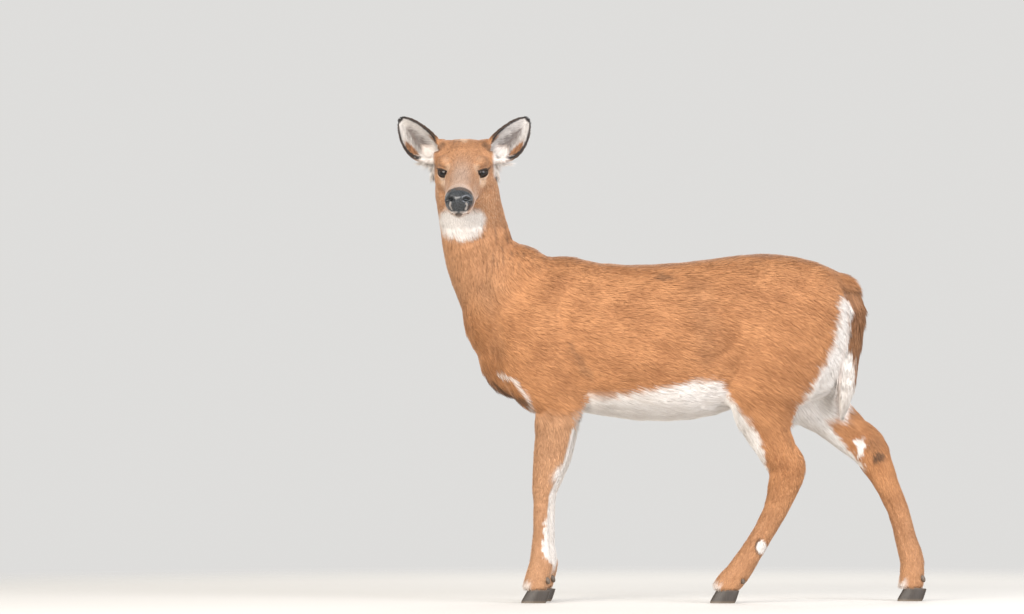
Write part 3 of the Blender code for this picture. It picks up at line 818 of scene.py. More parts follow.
# %% Eyeballs
CORNEA_BULGE = 1.0 * MM
CORNEA_ANGLE = 0.62
INSIDE_SOLID = 0.6 * MM
PUPIL_REACH = (0.36, 0.20, 1.0)
FIBRE_SIZE = 10 / 9 * MM


def eyeball(name, eye):
    """A ball with its pole along the gaze, swelling at the cornea."""
    work = bmesh.new()
    bmesh.ops.create_uvsphere(work, u_segments=64, v_segments=48, radius=1.0)
    ways = np.array([vert.co[:] for vert in work.verts])
    from_pole = np.arccos(np.clip(ways[:, 2], -1, 1))
    radius = eye_radius - INSIDE_SOLID + CORNEA_BULGE * bell(from_pole, CORNEA_ANGLE)
    placed = eye.centre + (ways * radius[:, None]) @ np.array((eye.nose_ward, eye.up, eye.gaze))
    for vert, place in zip(work.verts, placed):
        vert.co = place
    bmesh.ops.recalc_face_normals(work, faces=work.faces)
    mesh = mesh_of(name, work)
    along, height, margin, distance = eye.read(placed)
    keep_values(mesh, eye_along=along, eye_height=height)
    mesh.shade_smooth()
    return object_from(name, mesh)


def wet_eye_material():
    """Cornea over a dark brown iris: index 1.376, glassy, with the pupil a level oval."""
    material, tree, shader = new_material("wet cornea over dark brown iris")
    along = add(tree, "ShaderNodeAttribute", attribute_name="eye_along")["Fac"]
    height = add(tree, "ShaderNodeAttribute", attribute_name="eye_height")["Fac"]
    angles = add(tree, "ShaderNodeCombineXYZ", {"X": along, "Y": height})["Vector"]
    reach = add(tree, "ShaderNodeVectorMath", {0: angles}, operation="LENGTH")["Value"]
    scaled = add(tree, "ShaderNodeVectorMath", {0: angles, 1: PUPIL_REACH}, operation="DIVIDE")["Vector"]
    pupil = add(tree, "ShaderNodeVectorMath", {0: scaled, 1: scaled}, operation="DOT_PRODUCT")["Value"]
    place = add(tree, "ShaderNodeNewGeometry")["Position"]
    fibres = add(tree, "ShaderNodeTexNoise", {"Vector": place, "Scale": 1 / FIBRE_SIZE, "Detail": 3.0})["Fac"]
    browns = {SHARE: fibres, FIRST: "#140B06", SECOND: "#2E1B0E"}
    iris = add(tree, "ShaderNodeMix", browns, data_type="RGBA")[MIXED]
    iris = soft_mark(tree, iris, reach, 0.55, 0.72, "#080504")
    colour = soft_mark(tree, iris, pupil, 1.25, 0.9, "#050404")
    colour = soft_mark(tree, colour, reach, 0.86, 1.0, "#1C1410")
    wire(tree, shader, {"Base Color": colour, "Roughness": 0.06, "IOR": 1.376})
    wire(tree, shader, {"Coat Weight": 0.2, "Coat Roughness": 0.02})
    return material


eye_finish = wet_eye_material()
for side, eye in eyes.items():
    ball = eyeball("eyeball_" + side, eye)
    ball.data.materials.append(eye_finish)
    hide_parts("eye_" + side)
    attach(ball, "root")
print("eyeballs", round(2 * eye_radius / MM, 1), "mm across")

# %% [markdown]
# ## Lid margins
#
# The edge of each lid is bare black skin, always a little wet, which frames the eye. It is
# a thin roll that follows the almond, a little thicker along the upper lid.

# %% Lid margins
RIM_POINTS = 72
RIM_SIDES = 8
RIM_LIFT = 0.65 * MM
ROLL_RADIUS = 0.95
UPPER_ROLL = 0.35
LID_GRAIN = 5 / 7 * MM


def closed_tube(name, path, radii, sides):
    """A tube along a closed path."""
    count = len(path)
    ahead = unit(np.roll(path, -1, axis=0) - np.roll(path, 1, axis=0))
    first = unit(np.cross(ahead, head_axes[0] + 0.01))
    second = np.cross(ahead, first)
    turns = 2 * np.pi * np.arange(sides)[None, :, None] / sides
    ways = np.cos(turns) * first[:, None] + np.sin(turns) * second[:, None]
    points = (path[:, None] + ways * radii[:, None, None]).reshape(-1, 3)
    work = bmesh.new()
    verts = [work.verts.new(point) for point in points]
    for i in range(count):
        j = (i + 1) % count
        for k in range(sides):
            l = (k + 1) % sides
            corners = (i * sides + k, i * sides + l, j * sides + l, j * sides + k)
            work.faces.new([verts[corner] for corner in corners])
    bmesh.ops.recalc_face_normals(work, faces=work.faces)
    mesh = mesh_of(name, work)
    mesh.shade_smooth()
    return object_from(name, mesh)


def lid_margin(name, eye):
    turns = [2 * math.pi * i / RIM_POINTS for i in range(RIM_POINTS)]
    path = np.array([eye.rim(turn, eye_radius + RIM_LIFT) for turn in turns])
    radii = np.array([ROLL_RADIUS + UPPER_ROLL * max(0.0, math.sin(turn)) for turn in turns]) * MM
    return closed_tube(name, path, radii, RIM_SIDES)


def lid_skin_material():
    """Bare moist black skin: smooth, with a soft wet gloss."""
    material, tree, shader = new_material("moist black lid skin")
    place = add(tree, "ShaderNodeNewGeometry")["Position"]
    grain = add(tree, "ShaderNodeTexNoise", {"Vector": place, "Scale": 1 / LID_GRAIN, "Detail": 3.0})["Fac"]
    blacks = {SHARE: grain, FIRST: "#0E0B0A", SECOND: "#241C18"}
    colour = add(tree, "ShaderNodeMix", blacks, data_type="RGBA")[MIXED]
    relief = add(tree, "ShaderNodeBump", {"Height": grain, "Strength": 0.3, "Distance": 0.0002})["Normal"]
    wire(tree, shader, {"Base Color": colour, "Normal": relief, "Roughness": 0.32, "IOR": 1.40})
    return material


lid_finish = lid_skin_material()
for side, eye in eyes.items():
    margin = lid_margin("lid_margin_" + side, eye)
    margin.data.materials.append(lid_finish)
    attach(margin, "root")
print("lid margins follow", RIM_POINTS, "points round each eye")

# %% [markdown]
# ## Markings
#
# In her summer coat a doe is fox red, with white on the belly, the inner legs, the throat,
# round the muzzle and under the tail. Skin and hair must agree, so the markings are one
# function from a place on her to six shares: white, pale, dark, black, grizzled and grey.
# Each is drawn by soft steps and distances, in metres. Numbers in pairs are where an edge
# starts and where it ends. Places on the body are X and Z, as seen from the side.
#
# This first cell reads the measures that the marks of the body share. Most of them waver a
# little, because hair is never cut off along a line.

# %% Measures on the body
MARKS = ("white", "pale", "dark", "black", "grizzled", "grey")


def shares(points, **given):
    """One row for each mark, in order, with 0 for the marks not given."""
    rows = np.zeros((len(MARKS), len(points)))
    for name, values in given.items():
        rows[MARKS.index(name)] = values
    return rows


def most(*values):
    return np.maximum.reduce(values)


def span(value, low, full_from, full_to, high):
    """1 between the two middle values, 0 outside the outer ones, and soft between."""
    return ramp(value, low, full_from) * ramp(value, high, full_to)


def oval(first, second, middle, reach):
    """How far two measures are from the middle of an oval: 1 at its edge."""
    return np.hypot((first - middle[0]) / reach[0], (second - middle[1]) / reach[1])


def wavers(points, size, seeds):
    return np.stack([waver(points, size, seed) for seed in seeds], axis=1)


class Place:
    """Measures of points on the body. Side is -1 on her left and +1 on her right."""

    def __init__(self, points, normals):
        self.exact = points
        self.ragged = points + 0.0035 * wavers(points, 0.028, (1, 2, 3))
        self.ragged += 0.0030 * wavers(points, 0.008, (7, 8, 9))
        self.x, self.y, self.z = self.ragged.T
        self.flat = self.ragged[:, [0, 2]]
        self.faces_back, self.faces_right, self.faces_up = normals.T
        self.side = np.sign(points[:, 1] - middle_y)
        self.inward = -self.faces_right * self.side
        self.out = np.abs(self.y - middle_y)
        self.tail = on_tail(points)
        self.torso = (1 - self.tail) * ramp(points[:, 2], 0.385, 0.40)
        self.fore = ramp(self.x, -0.14, -0.17) * ramp(self.z, 0.43, 0.40)
        self.hind = ramp(self.x, 0.04, 0.07) * (1 - self.tail)


print("marks:", ", ".join(MARKS))

# %% [markdown]
# ## White of the body
#
# White covers the belly up to a clean edge along the flank, the front edge and the inside
# of the thighs, the buttocks beside the tail, the backs of the forelegs with a patch on the
# cannons, a thin line on the chest and an oval on the throat.

# %% White of the body
BELLY_X = (-0.20, -0.175, -0.12, -0.02, 0.092, 0.13)
BELLY_Z = (0.418, 0.434, 0.457, 0.472, 0.492, 0.510)
THIGH_FRONT = [(0.106, 0.466), (0.125, 0.436), (0.160, 0.394), (0.188, 0.345), (0.199, 0.304), (0.202, 0.275)]
FAR_FRONT = [(0.283, 0.416), (0.325, 0.381), (0.374, 0.345), (0.431, 0.304)]
FAR_EDGE_Z = (0.299, 0.321, 0.343, 0.372, 0.394, 0.424, 0.450)
FAR_EDGE_X = (0.442, 0.424, 0.400, 0.377, 0.362, 0.362, 0.385)
BUTTOCK_Z = (0.40, 0.449, 0.508, 0.568, 0.62)
BUTTOCK_X = (0.297, 0.303, 0.336, 0.366, 0.379)
KNEE_Z = 0.285
CANNON_PATCH, CANNON_PATCH_REACH = (-0.248, 0.1364), (0.020, 0.052)
CHEST_LINE = [(-0.362, 0.502), (-0.326, 0.488), (-0.302, 0.455), (-0.286, 0.412)]
THROAT, THROAT_REACH = (-0.4425, 0.837), (0.052, 0.042)


def throat_patch(points):
    """The white oval below the chin, seen from the side that she faces."""
    return ramp(oval(points[:, 0], points[:, 2], THROAT, THROAT_REACH), 1.12, 0.85)


def white_below(p):
    """The belly, up to its edge along the flank."""
    above_edge = p.z - np.interp(p.x, BELLY_X, BELLY_Z)
    belly = ramp(above_edge, 0.008, -0.012) * span(p.x, -0.200, -0.172, 0.092, 0.112)
    under = ramp(p.faces_up, -0.45, -0.75) * span(p.x, -0.25, -0.20, 0.30, 0.36) * ramp(p.z, 0.56, 0.50)
    return np.maximum(belly, under) * p.torso


def white_behind(p):
    """The front and the inside of the thighs, and the buttocks."""
    far = p.side > 0
    front = ramp(distance_to_path(p.flat, THIGH_FRONT), 0.031, 0.017)
    front = front * np.where(p.side < 0, 1.0, ramp(p.inward, 0.0, 0.4))
    before_edge = ramp(p.x - np.interp(p.z, FAR_EDGE_Z, FAR_EDGE_X), 0.007, -0.006)
    inside = ramp(p.inward, 0.15, 0.5) * ramp(p.z, 0.27, 0.30)
    inside = inside * np.where(far, np.maximum(before_edge, ramp(p.z, 0.435, 0.46)), 1.0)
    far_front = ramp(distance_to_path(p.flat, FAR_FRONT), 0.013, 0.006) * far * (1 - p.tail)
    buttock = ramp(p.x - np.interp(p.z, BUTTOCK_Z, BUTTOCK_X), -0.004, 0.010) * (1 - p.tail)
    buttock = buttock * span(p.z, 0.385, 0.41, 0.662, 0.676)
    buttock = buttock * ramp(p.x, 0.29, 0.30) * np.where(far, ramp(p.x, 0.42, 0.40), 1)
    return most(front * p.hind, inside * p.hind, far_front, buttock)


def white_before(p):
    """The inside and back of the forelegs, the chest line and the throat."""
    inside = ramp(p.inward, 0.25, 0.65) * ramp(p.z, 0.05, 0.09)
    behind_knee = ramp(p.faces_back, 0.15, 0.55) * bump(p.z, KNEE_Z, 0.030)
    back = np.maximum(ramp(p.faces_back, 0.62, 0.88), behind_knee) * ramp(p.z, 0.080, 0.092)
    patch = ramp(oval(p.x, p.z, CANNON_PATCH, CANNON_PATCH_REACH), 1.08, 0.88)
    line = distance_to_path((p.flat + p.exact[:, [0, 2]]) / 2, CHEST_LINE)
    chest = 0.72 * ramp(line, 0.0062, 0.0010) * (p.side < 0) * (p.faces_right < 0.2)
    throat = throat_patch(p.ragged) * ramp(p.faces_right, 0.25, -0.15) * ramp(p.y, 0.06, 0.03)
    return most(inside * p.fore, back * p.fore, patch * p.fore, chest, throat)


print("the belly is white below z =", BELLY_Z[0], "in front and", BELLY_Z[-1], "behind")

# %% [markdown]
# ## Brown, dark and glands
#
# The tail is brown down its back and white round it. The nape and the line of the back are
# darker. The brisket's lower edge is darker too, partly dark hair and partly painted shade
# where it faces down, and painted shade lies in the grooves where muscles part. A deer has
# scent glands on its hind legs: a dark tuft with white before it inside each hock, and a
# white tuft with a dark rim outside each cannon.

# %% All marks of the body
TAIL_Z = (0.466, 0.488, 0.532, 0.560, 0.571, 0.587, 0.609, 0.631, 0.650, 0.664)
TAIL_EDGE = (0.430, 0.418, 0.4176, 0.413, 0.400, 0.3945, 0.397, 0.411, 0.405, 0.398)
BRISKET_EDGE = [(-0.400, 0.500), (-0.372, 0.470), (-0.335, 0.452), (-0.300, 0.440)]
BACK_SMUDGE, BACK_SMUDGE_REACH = (0.0, 0.712), (0.024, 0.009)
HOCKS = ((-1, 0.316, 0.300), (1, 0.470, 0.322))
CANNON_GLANDS = ((-1, 0.213, 0.123), (1, 0.536, 0.128))
# Painted shade along the grooves behind the elbow, in the flank hollow and between neck and shoulder: line,
# reach and strength.
PAINTED_SHADE_LINES = (
    ([(-0.205, 0.561), (-0.183, 0.525), (-0.161, 0.495)], 0.014, 0.34),
    ([(0.080, 0.690), (0.096, 0.610), (0.098, 0.545)], 0.045, 0.16),
    ([(-0.392, 0.700), (-0.376, 0.638), (-0.360, 0.550)], 0.026, 0.20),
)


def brown_of_tail(p):
    """The brown back of the tail, with its edge drawn out into strands."""
    high = p.exact[:, 2]
    strands = high + 0.014 * waver(p.exact * (1.0, 1.0, 0.15), 0.011, 53)
    brown = ramp(p.x - np.interp(strands, TAIL_Z, TAIL_EDGE), -0.004, 0.005) * ramp(p.out, 0.046, 0.036)
    return np.maximum(brown, ramp(high, 0.664, 0.680))


def dark_of_trunk(p):
    """Brisket, partly painted shade where it faces down, line of the back, nape, and painted shade between
    muscles.
    """
    below = ramp(p.faces_up, -0.2, -0.55)
    # The brisket's underside: partly dark hair, partly painted shade where it faces down.
    brisket = 0.85 * ramp(distance_to_path(p.flat, BRISKET_EDGE), 0.011, 0.004) * below
    back_line = 0.35 * ramp(p.faces_up, 0.80, 0.97) * ramp(p.out, 0.06, 0.01) * ramp(p.z, 0.68, 0.72)
    smudge = 0.55 * ramp(oval(p.x, p.z, BACK_SMUDGE, BACK_SMUDGE_REACH), 1.2, 0.4) * (p.side < 0)
    strands = waver(p.exact * (1.0, 1.0, 0.16), 0.013, 52)
    nape = 0.50 * ramp(strands, 0.25, 0.95) * ramp(p.x, -0.425, -0.375) * span(p.z, 0.70, 0.76, 0.88, 0.93)
    shades = []
    # Painted shade in the grooves between muscles.
    for path, reach, strength in PAINTED_SHADE_LINES:
        gap = distance_to_path(p.flat, path)
        shades.append(strength * ramp(gap, reach, 0.2 * reach) * p.torso * (p.inward < 0))
    return most(brisket, back_line, smudge, nape * p.torso, *shades)


def mark_hocks(p, white, dark):
    """Inside each hock, a dark gland with a shade above it and a white tuft before it."""
    for side, hock_x, hock_z in HOCKS:
        inner = (p.side == side) * ramp(p.inward, 0.0, 0.35)
        x, z = p.x - hock_x, p.z - hock_z
        tuft = np.hypot((x + 0.034) / 0.70, (z - 0.018) / 1.55)
        white = white * (1 - ramp(np.hypot(x, z), 0.024, 0.012) * inner)
        white = np.maximum(white, ramp(tuft, 0.0155, 0.0105) * inner)
        above = np.hypot((x + 0.004) / 1.1, (z - 0.022) / 1.2)
        gland = np.hypot(x - 0.006, z + 0.006)
        dark = most(dark, 0.35 * ramp(above, 0.022, 0.006) * inner, 0.95 * ramp(gland, 0.018, 0.006) * inner)
    return white, dark


def mark_cannons(p, white, dark):
    """Outside each hind cannon, a white tuft with a dark rim in front."""
    for side, gland_x, gland_z in CANNON_GLANDS:
        outer = (p.side == side) * ramp(p.inward, 0.2, -0.2)
        behind = p.exact[:, 0] - gland_x
        gap = np.hypot(behind / 0.85, (p.exact[:, 2] - gland_z) / 1.12)
        rim = bump(gap, 0.0150, 0.0042) * ramp(behind, 0.002, -0.006)
        white = np.maximum(white, ramp(gap, 0.0150, 0.0120) * outer)
        dark = np.maximum(dark, 0.9 * rim * outer)
    return white, dark


def body_marks(points, normals):
    """The marks of the trunk, neck, legs and tail."""
    p = Place(points, normals)
    brown = brown_of_tail(p)
    white = most(white_below(p), white_behind(p), white_before(p))
    white = white * (1 - p.tail) + (1 - brown) * p.tail
    dark = np.maximum(dark_of_trunk(p), 0.55 * brown * p.tail)
    white, dark = mark_hocks(p, white, dark)
    white, dark = mark_cannons(p, white, dark)
    toes = 0.75 * ramp(p.z, 0.052, 0.036) * ramp(p.faces_back, -0.1, -0.6)
    lower_legs = 0.10 * ramp(p.z, 0.30, 0.12) * (1 - p.tail)
    neck = 0.12 * ramp(p.x, -0.30, -0.40) * ramp(p.z, 0.60, 0.70)
    pale = np.maximum(lower_legs + neck, 0.20 * p.fore)
    return shares(points, white=np.maximum(white, toes), pale=pale, dark=dark)


print("glands at", len(HOCKS), "hocks and", len(CANNON_GLANDS), "cannons")

# %% [markdown]
# ## Markings of the head
#
# The face is grizzled down the bridge, pale round the eyes and dark at the temples. Beside
# each eye towards the bridge the pale is partly pale hair and partly painted light that
# lifts the shade below the brow. The bare pad of the nose is black, with a white crescent
# on the lip below it, white beside the chin and a black spot in its middle. Both sides are
# marked alike, so places on the head are given as ahead, out to either side, and up, in the
# head's frame.

# %% Marks of the head
TEMPLE_BAND = [
    (-0.042, 0.0475, 0.053),
    (-0.038, 0.0560, 0.030),
    (-0.032, 0.0620, 0.010),
    (-0.030, 0.0650, -0.004),
]
CHEEK_WHITE = [(-0.060, 0.068, 0.016), (-0.062, 0.069, -0.008), (-0.064, 0.064, -0.036)]
CHIN_SPOT, CHIN_SPOT_REACH = (0.0, -0.0270), (0.0085, 0.0075)
CROWN, CROWN_REACH = (0.0, -0.055), (0.010, 0.016)
PALE_AND_PAINTED_LIGHT_SPOTS = (
    ((0.003, 0.0350, 0.0345), 0.016, 0.002, 0.30),
    ((0.013, 0.0460, -0.0110), 0.026, 0.010, 0.75),
    # Beside the eye towards the bridge: partly pale hair, partly painted light that lifts the shade below the
    # brow.
    ((0.017, 0.0300, 0.0180), 0.017, 0.005, 0.55),
)


class FacePlace:
    """Measures of points on the head, with both sides folded on to one."""

    def __init__(self, points, normals):
        self.exact = points
        self.ragged = points + 0.0012 * wavers(points, 0.012, (4, 5, 6))
        self.local = in_head(self.ragged)
        self.ahead, side, self.up = self.local.T
        self.out = np.abs(side)
        self.folded = np.stack([self.ahead, self.out, self.up], axis=1)
        self.from_pad = from_pad(side, self.up)
        self.faces_ahead = normals @ head_axes[0]
        self.faces_up = normals @ head_axes[2]


def lip_rim(f):
    """The dark edge of hair below the pad."""
    return bump(f.from_pad, 1.16, 0.28) * ramp(f.up, 0.006, -0.006) * ramp(f.ahead, 0.106, 0.120)


def lip_crescent(f):
    """The pale crescent on the upper lip."""
    return ramp(f.out, 0.0220, 0.0170) * bump(f.up, -0.0210, 0.0056) * ramp(f.ahead, 0.115, 0.130)


def head_white(f):
    chin = (0.5 + 0.35 * ramp(f.out, 0.009, 0.012)) * ramp(f.up, -0.026, -0.032) * ramp(f.ahead, 0.035, 0.070)
    lip = 0.3 * ramp(f.up, -0.014, -0.021) * ramp(f.ahead, 0.085, 0.105)
    ring = 0.26 * bump(f.ahead + 0.10 * f.up, 0.1140, 0.0150) * ramp(np.abs(f.up + 0.002), 0.036, 0.022)
    jaw = 0.9 * ramp(f.faces_up, -0.35, -0.75) * ramp(f.ahead, -0.035, 0.0)
    throat = throat_patch(f.ragged) * ramp(f.ragged[:, 2], 0.872, 0.850)
    throat = throat * ramp(f.faces_ahead, 0.0, 0.4) * ramp(f.up, -0.050, -0.068)
    cheek = 0.9 * ramp(distance_to_path(f.folded, CHEEK_WHITE), 0.020, 0.009)
    white = most(chin, lip, ring, jaw, throat, cheek)
    return np.maximum(white * (1 - lip_rim(f)), 0.9 * lip_crescent(f))


def head_pale(f):
    strands = waver(f.local * (0.25, 1.0, 1.0), 0.0035, 54)
    cheek = 0.10 + 0.34 * ramp(strands, 0.0, 0.9) * ramp(f.up, 0.030, -0.010)
    crown = 0.7 * ramp(oval(f.out, f.ahead, CROWN, CROWN_REACH), 1.2, 0.5) * ramp(f.up, 0.02, 0.04)
    spots = []
    for place, start, end, strength in PALE_AND_PAINTED_LIGHT_SPOTS:
        gap = np.linalg.norm(f.folded - np.array(place), axis=1)
        spots.append(strength * ramp(gap, start, end))
    return most(cheek, crown, *spots)


def head_dark(f):
    ticks = 0.50 * ramp(waver(f.exact, 0.0045, 51), 0.30, 0.95) * ramp(f.out, 0.045, 0.030)
    ticks = ticks * ramp(f.up, 0.0, 0.02) * ramp(f.ahead, 0.11, 0.08)
    temple = 0.80 * ramp(distance_to_path(f.folded, TEMPLE_BAND), 0.015, 0.003)
    tear = 0.4 * ramp(distance_to_path(f.folded, TEAR_GROOVE), 0.0030, 0.0014)
    mouth = 0.9 * ramp(distance_to_path(f.folded, MOUTH), 0.0030, 0.0014)
    under_lip = 0.5 * bump(f.up, -0.0335, 0.0030) * ramp(f.ahead, 0.105, 0.120)
    dark = np.maximum(most(ticks, temple, tear, mouth), 0.15)
    return np.maximum(dark * (1 - lip_crescent(f)), under_lip)


def head_black(f):
    spot = ramp(oval(f.out, f.up, CHIN_SPOT, CHIN_SPOT_REACH), 1.15, 0.75)
    spot = 0.85 * spot * ramp(f.ahead, 0.10, 0.12)
    fringe = 0.85 * ramp(f.from_pad, 1.42, 1.18) * ramp(f.up, -0.004, 0.004) * ramp(f.ahead, 0.114, 0.120)
    return most(spot, fringe, nose_pad(f.exact), 0.8 * lip_rim(f) * (1 - lip_crescent(f)))


def eye_marks(points):
    """White below each eye, and black at its outer corner and along its lashes."""
    white = np.zeros(len(points))
    black = np.zeros(len(points))
    for eye in eyes.values():
        along, height, margin, distance = eye.read(points)
        close = ramp(distance, 0.034, 0.028)
        ring = 0.20 * bump(margin, 3.6 * MM, 3.2 * MM) * ramp(height, 0.15, -0.15) * close
        corner = 0.95 * ramp(margin, 14 * MM, 9 * MM) * ramp(along, -0.70, -1.0) * close
        corner = corner * bump(height, 0.10, 0.20)
        lashes = 0.85 * ramp(margin, 3.2 * MM, 1.8 * MM) * ramp(height, -0.15, 0.05) * ramp(along, 1.20, 1.0)
        lashes = lashes * ramp(distance, 1.6 * eye_radius, 1.35 * eye_radius)
        white = np.maximum(white, ring)
        black = most(black, corner, lashes)
    return white, black


def head_marks(points, normals):
    """The marks of the head without the ears."""
    f = FacePlace(points, normals)
    bridge = ramp(f.out, 0.034, 0.006) * ramp(f.ahead, -0.020, 0.060) * ramp(f.up, 0.000, 0.022)
    cheek = 0.7 * ramp(f.ahead, 0.03, 0.09) * ramp(f.up, 0.022, -0.010)
    eye_white, eye_black = eye_marks(points)
    return shares(
        points,
        white=np.maximum(head_white(f), eye_white),
        pale=head_pale(f),
        dark=head_dark(f),
        black=np.maximum(head_black(f), eye_black),
        grizzled=np.maximum(bridge, cheek),
    )


print("pale spots at the brow, below the eye and beside it:", len(PALE_AND_PAINTED_LIGHT_SPOTS))

# %% [markdown]
# ## Markings of the ears, and all of them together
#
# An ear has a black rim that widens at the tip. Inside it is white at the edges, grey in the
# middle, where painted shade also darkens the hollow of the cup, and orange beside the lower
# rim, and long white hair covers its root. Body, head and ears are blended into one function,
# and the skin gets the first reading of it.

# %% Marks of the ears, and of all of her
LOWER_RIM = -1
EAR_ORANGE, EAR_ORANGE_REACH = (0.74, 0.46), (0.32, 0.27)
UNDER_EAR, UNDER_EAR_REACH = (-0.050, 0.002), (0.040, 0.038)


def ear_marks(points):
    """The marks of the ears."""
    rows = shares(points)
    for ear in ears.values():
        share, rim, inside = ear.read(points)
        lower = rim * LOWER_RIM * ear.side
        # The middle of the cup is darkened: painted shade in its hollow, over the grey of the lining.
        middle = bump(rim, 0.0, 0.60) * ramp(share, 0.95, 0.70) * ramp(share, 0.12, 0.48)
        mottled = 0.5 + 0.35 * waver(points, 0.011, 31)
        base = ramp(share, 0.36, 0.18) * ramp(lower, 0.0, 0.35)
        orange = ramp(oval(lower, share, EAR_ORANGE, EAR_ORANGE_REACH), 1.1, 0.6)
        orange = np.maximum(orange, ramp(lower, -0.55, -0.75) * ramp(share, 0.50, 0.34))
        rim_inside = ramp(np.abs(rim), 0.90 - 0.14 * ramp(share, 0.6, 0.95), 0.97)
        rim_inside = np.maximum(rim_inside, ramp(share, 0.955, 0.985)) * ramp(share, 0.14, 0.30)
        rim_outside = ramp(np.abs(rim), 0.86, 0.97) * ramp(share, 0.18, 0.35)
        white_inside = np.clip(0.76 - 0.72 * middle - 0.34 * mottled, 0, 1) * (1 - orange)
        dark_and_painted_shade_inside = 0.45 * middle * mottled + 0.6 * orange * ramp(mottled, 0.30, 0.7)
        found = shares(
            points,
            white=np.where(inside, np.maximum(white_inside, 0.9 * base), 0.95 * base),
            dark=np.where(inside, dark_and_painted_shade_inside, 0.30 * ramp(share, 0.2, 0.9)) * (1 - base),
            black=np.where(inside, rim_inside, np.maximum(rim_outside * 0.9, ramp(share, 0.92, 0.96))),
            grey=np.where(inside, 1 - 0.95 * orange, 0.0),
        )
        rows = np.where(ear.around(points, 0.08, 0.08, 0.15), found, rows)
    return rows


def markings(points, normals):
    """Every share by name, blended from body to head to ears."""
    head, ear = near_head(points), near_ears(points)
    rows = body_marks(points, normals) * (1 - head) + head_marks(points, normals) * head
    rows = rows * (1 - ear) + ear_marks(points) * ear
    ahead, side, up = in_head(points).T
    under_ear = span(np.abs(side), 0.061, 0.068, 0.088, 0.100) * head
    under_ear = under_ear * ramp(oval(ahead, up, UNDER_EAR, UNDER_EAR_REACH), 1.10, 0.75)
    rows = rows * (1 - under_ear)
    rows[MARKS.index("white")] += 0.95 * under_ear
    return dict(zip(MARKS, np.clip(rows, 0, 1)))


shaped = read_points(skin.data)
skin_marks = markings(shaped, read_normals(skin.data))
keep_values(skin.data, **skin_marks)
print("white on", round(100 * float(skin_marks["white"].mean())), "% of the skin's points")

# %% [markdown]
# ## The lie of the coat
#
# Hair lies from the nose back over the head, down the neck, along the flanks towards the
# tail and down each leg. So a few lines are laid through the body, each with a direction.
# At any place the hair follows the lines near it, weighed by how near they are, and then
# lies down along the skin. That gives the slow turns between neck, shoulder and flank.

# %% Lines that the hair follows
HAIR_DROOP = 0.28
RUMP_DROOP = 0.35
GUIDE_SPACING = 0.02
CHUNK = 20000
TRUNK_LINE = ((-0.40, 0.60), (-0.15, 0.590), (0.15, 0.575), (0.42, 0.55))
BACK_LINE = ((-0.30, 0.74), (0.0, 0.74), (0.25, 0.74), (0.38, 0.70))
SHOULDER_LINE = ((-0.29, 0.60), (-0.25, 0.50))


def slice_path(names, slices):
    """The middle line of upright solids, from top to bottom."""
    points = points_of(*names)
    heights = np.linspace(points[:, 2].max(), points[:, 2].min(), slices + 1)
    found = []
    for top, bottom in zip(heights[:-1], heights[1:]):
        inside = points[(points[:, 2] <= top) & (points[:, 2] >= bottom)]
        if len(inside):
            found.append(inside.mean(axis=0))
    return found


def in_middle(line):
    return [(x, middle_y, z) for x, z in line]


def guide_lines():
    """Each line as its points and how far it reaches."""
    lines = []
    for leg in LEGS:
        upper = "forearm" if leg.startswith("fore") else "thigh"
        lines.append((slice_path([f"{leg}_{part}" for part in (upper, "cannon", "pastern")], 9), 0.045))
    lines.append((in_middle(TRUNK_LINE), 0.15))
    lines.append((in_middle(BACK_LINE), 0.05))
    lines.append((slice_path(["neck"], 5) + in_middle(SHOULDER_LINE), 0.10))
    lines.append(([from_head((ahead, 0.0, -0.01)) for ahead in (0.15, 0.08, 0.0, -0.06, -0.10)], 0.055))
    lines.append((slice_path(["tail"], 6), 0.035))
    for ear in ears.values():
        lines.append(([ear.point(share, 0.0, 0.02) for share in (0.05, 0.35, 0.7, 1.05)], 0.022))
    return lines


def guide_samples():
    """Points, directions and reaches, evenly spaced along every line."""
    places, ways, reaches = [], [], []
    for line, reach in guide_lines():
        line = np.array([np.array(point, float) for point in line])
        for start, end in zip(line[:-1], line[1:]):
            count = max(2, int(np.linalg.norm(end - start) / GUIDE_SPACING))
            for t in (np.arange(count) + 0.5) / count:
                places.append(start + (end - start) * t)
                ways.append(unit(end - start))
                reaches.append(reach)
    return np.array(places), np.array(ways), np.array(reaches)


guide_places, guide_ways, guide_reaches = guide_samples()


def lie_of_hair(points, normals):
    """The way the hair lies at each point, along the skin."""
    ways = np.zeros_like(points)
    for first in range(0, len(points), CHUNK):
        part = slice(first, first + CHUNK)
        gaps = np.linalg.norm(points[part, None] - guide_places[None], axis=2) / guide_reaches
        weights = 1 / (gaps**2 + 0.15) ** 2.2
        ways[part] = weights @ guide_ways
    ways = unit(ways)
    droop = HAIR_DROOP + RUMP_DROOP * ramp(points[:, 0], 0.10, 0.34) * ramp(points[:, 2], 0.72, 0.60)
    ways[:, 2] -= droop * (1 - near_head(points))
    return unit(without(ways, normals))


print(len(guide_places), "guides for the lie of the coat")

# %% [markdown]
# ## Deer hair as a finish
#
# Each guard hair is a hollow, slightly glossy fibre: pale at the root, fox red along its
# length. From a step away the eye sees locks, each a little lighter or darker than the
# next. One finish does for skin and locks. It reads the markings stored on the mesh, mixes
# the colours of red, pale, grizzled, grey, white, dark and black hair, and varies them from
# lock to lock. Each lock is darkened towards its root with painted shade, where the locks
# cover one another, and lightened at its tip with painted light, and the skin under the
# locks is darkened with painted shadow. Hair is fairly rough, with a faint sheen.

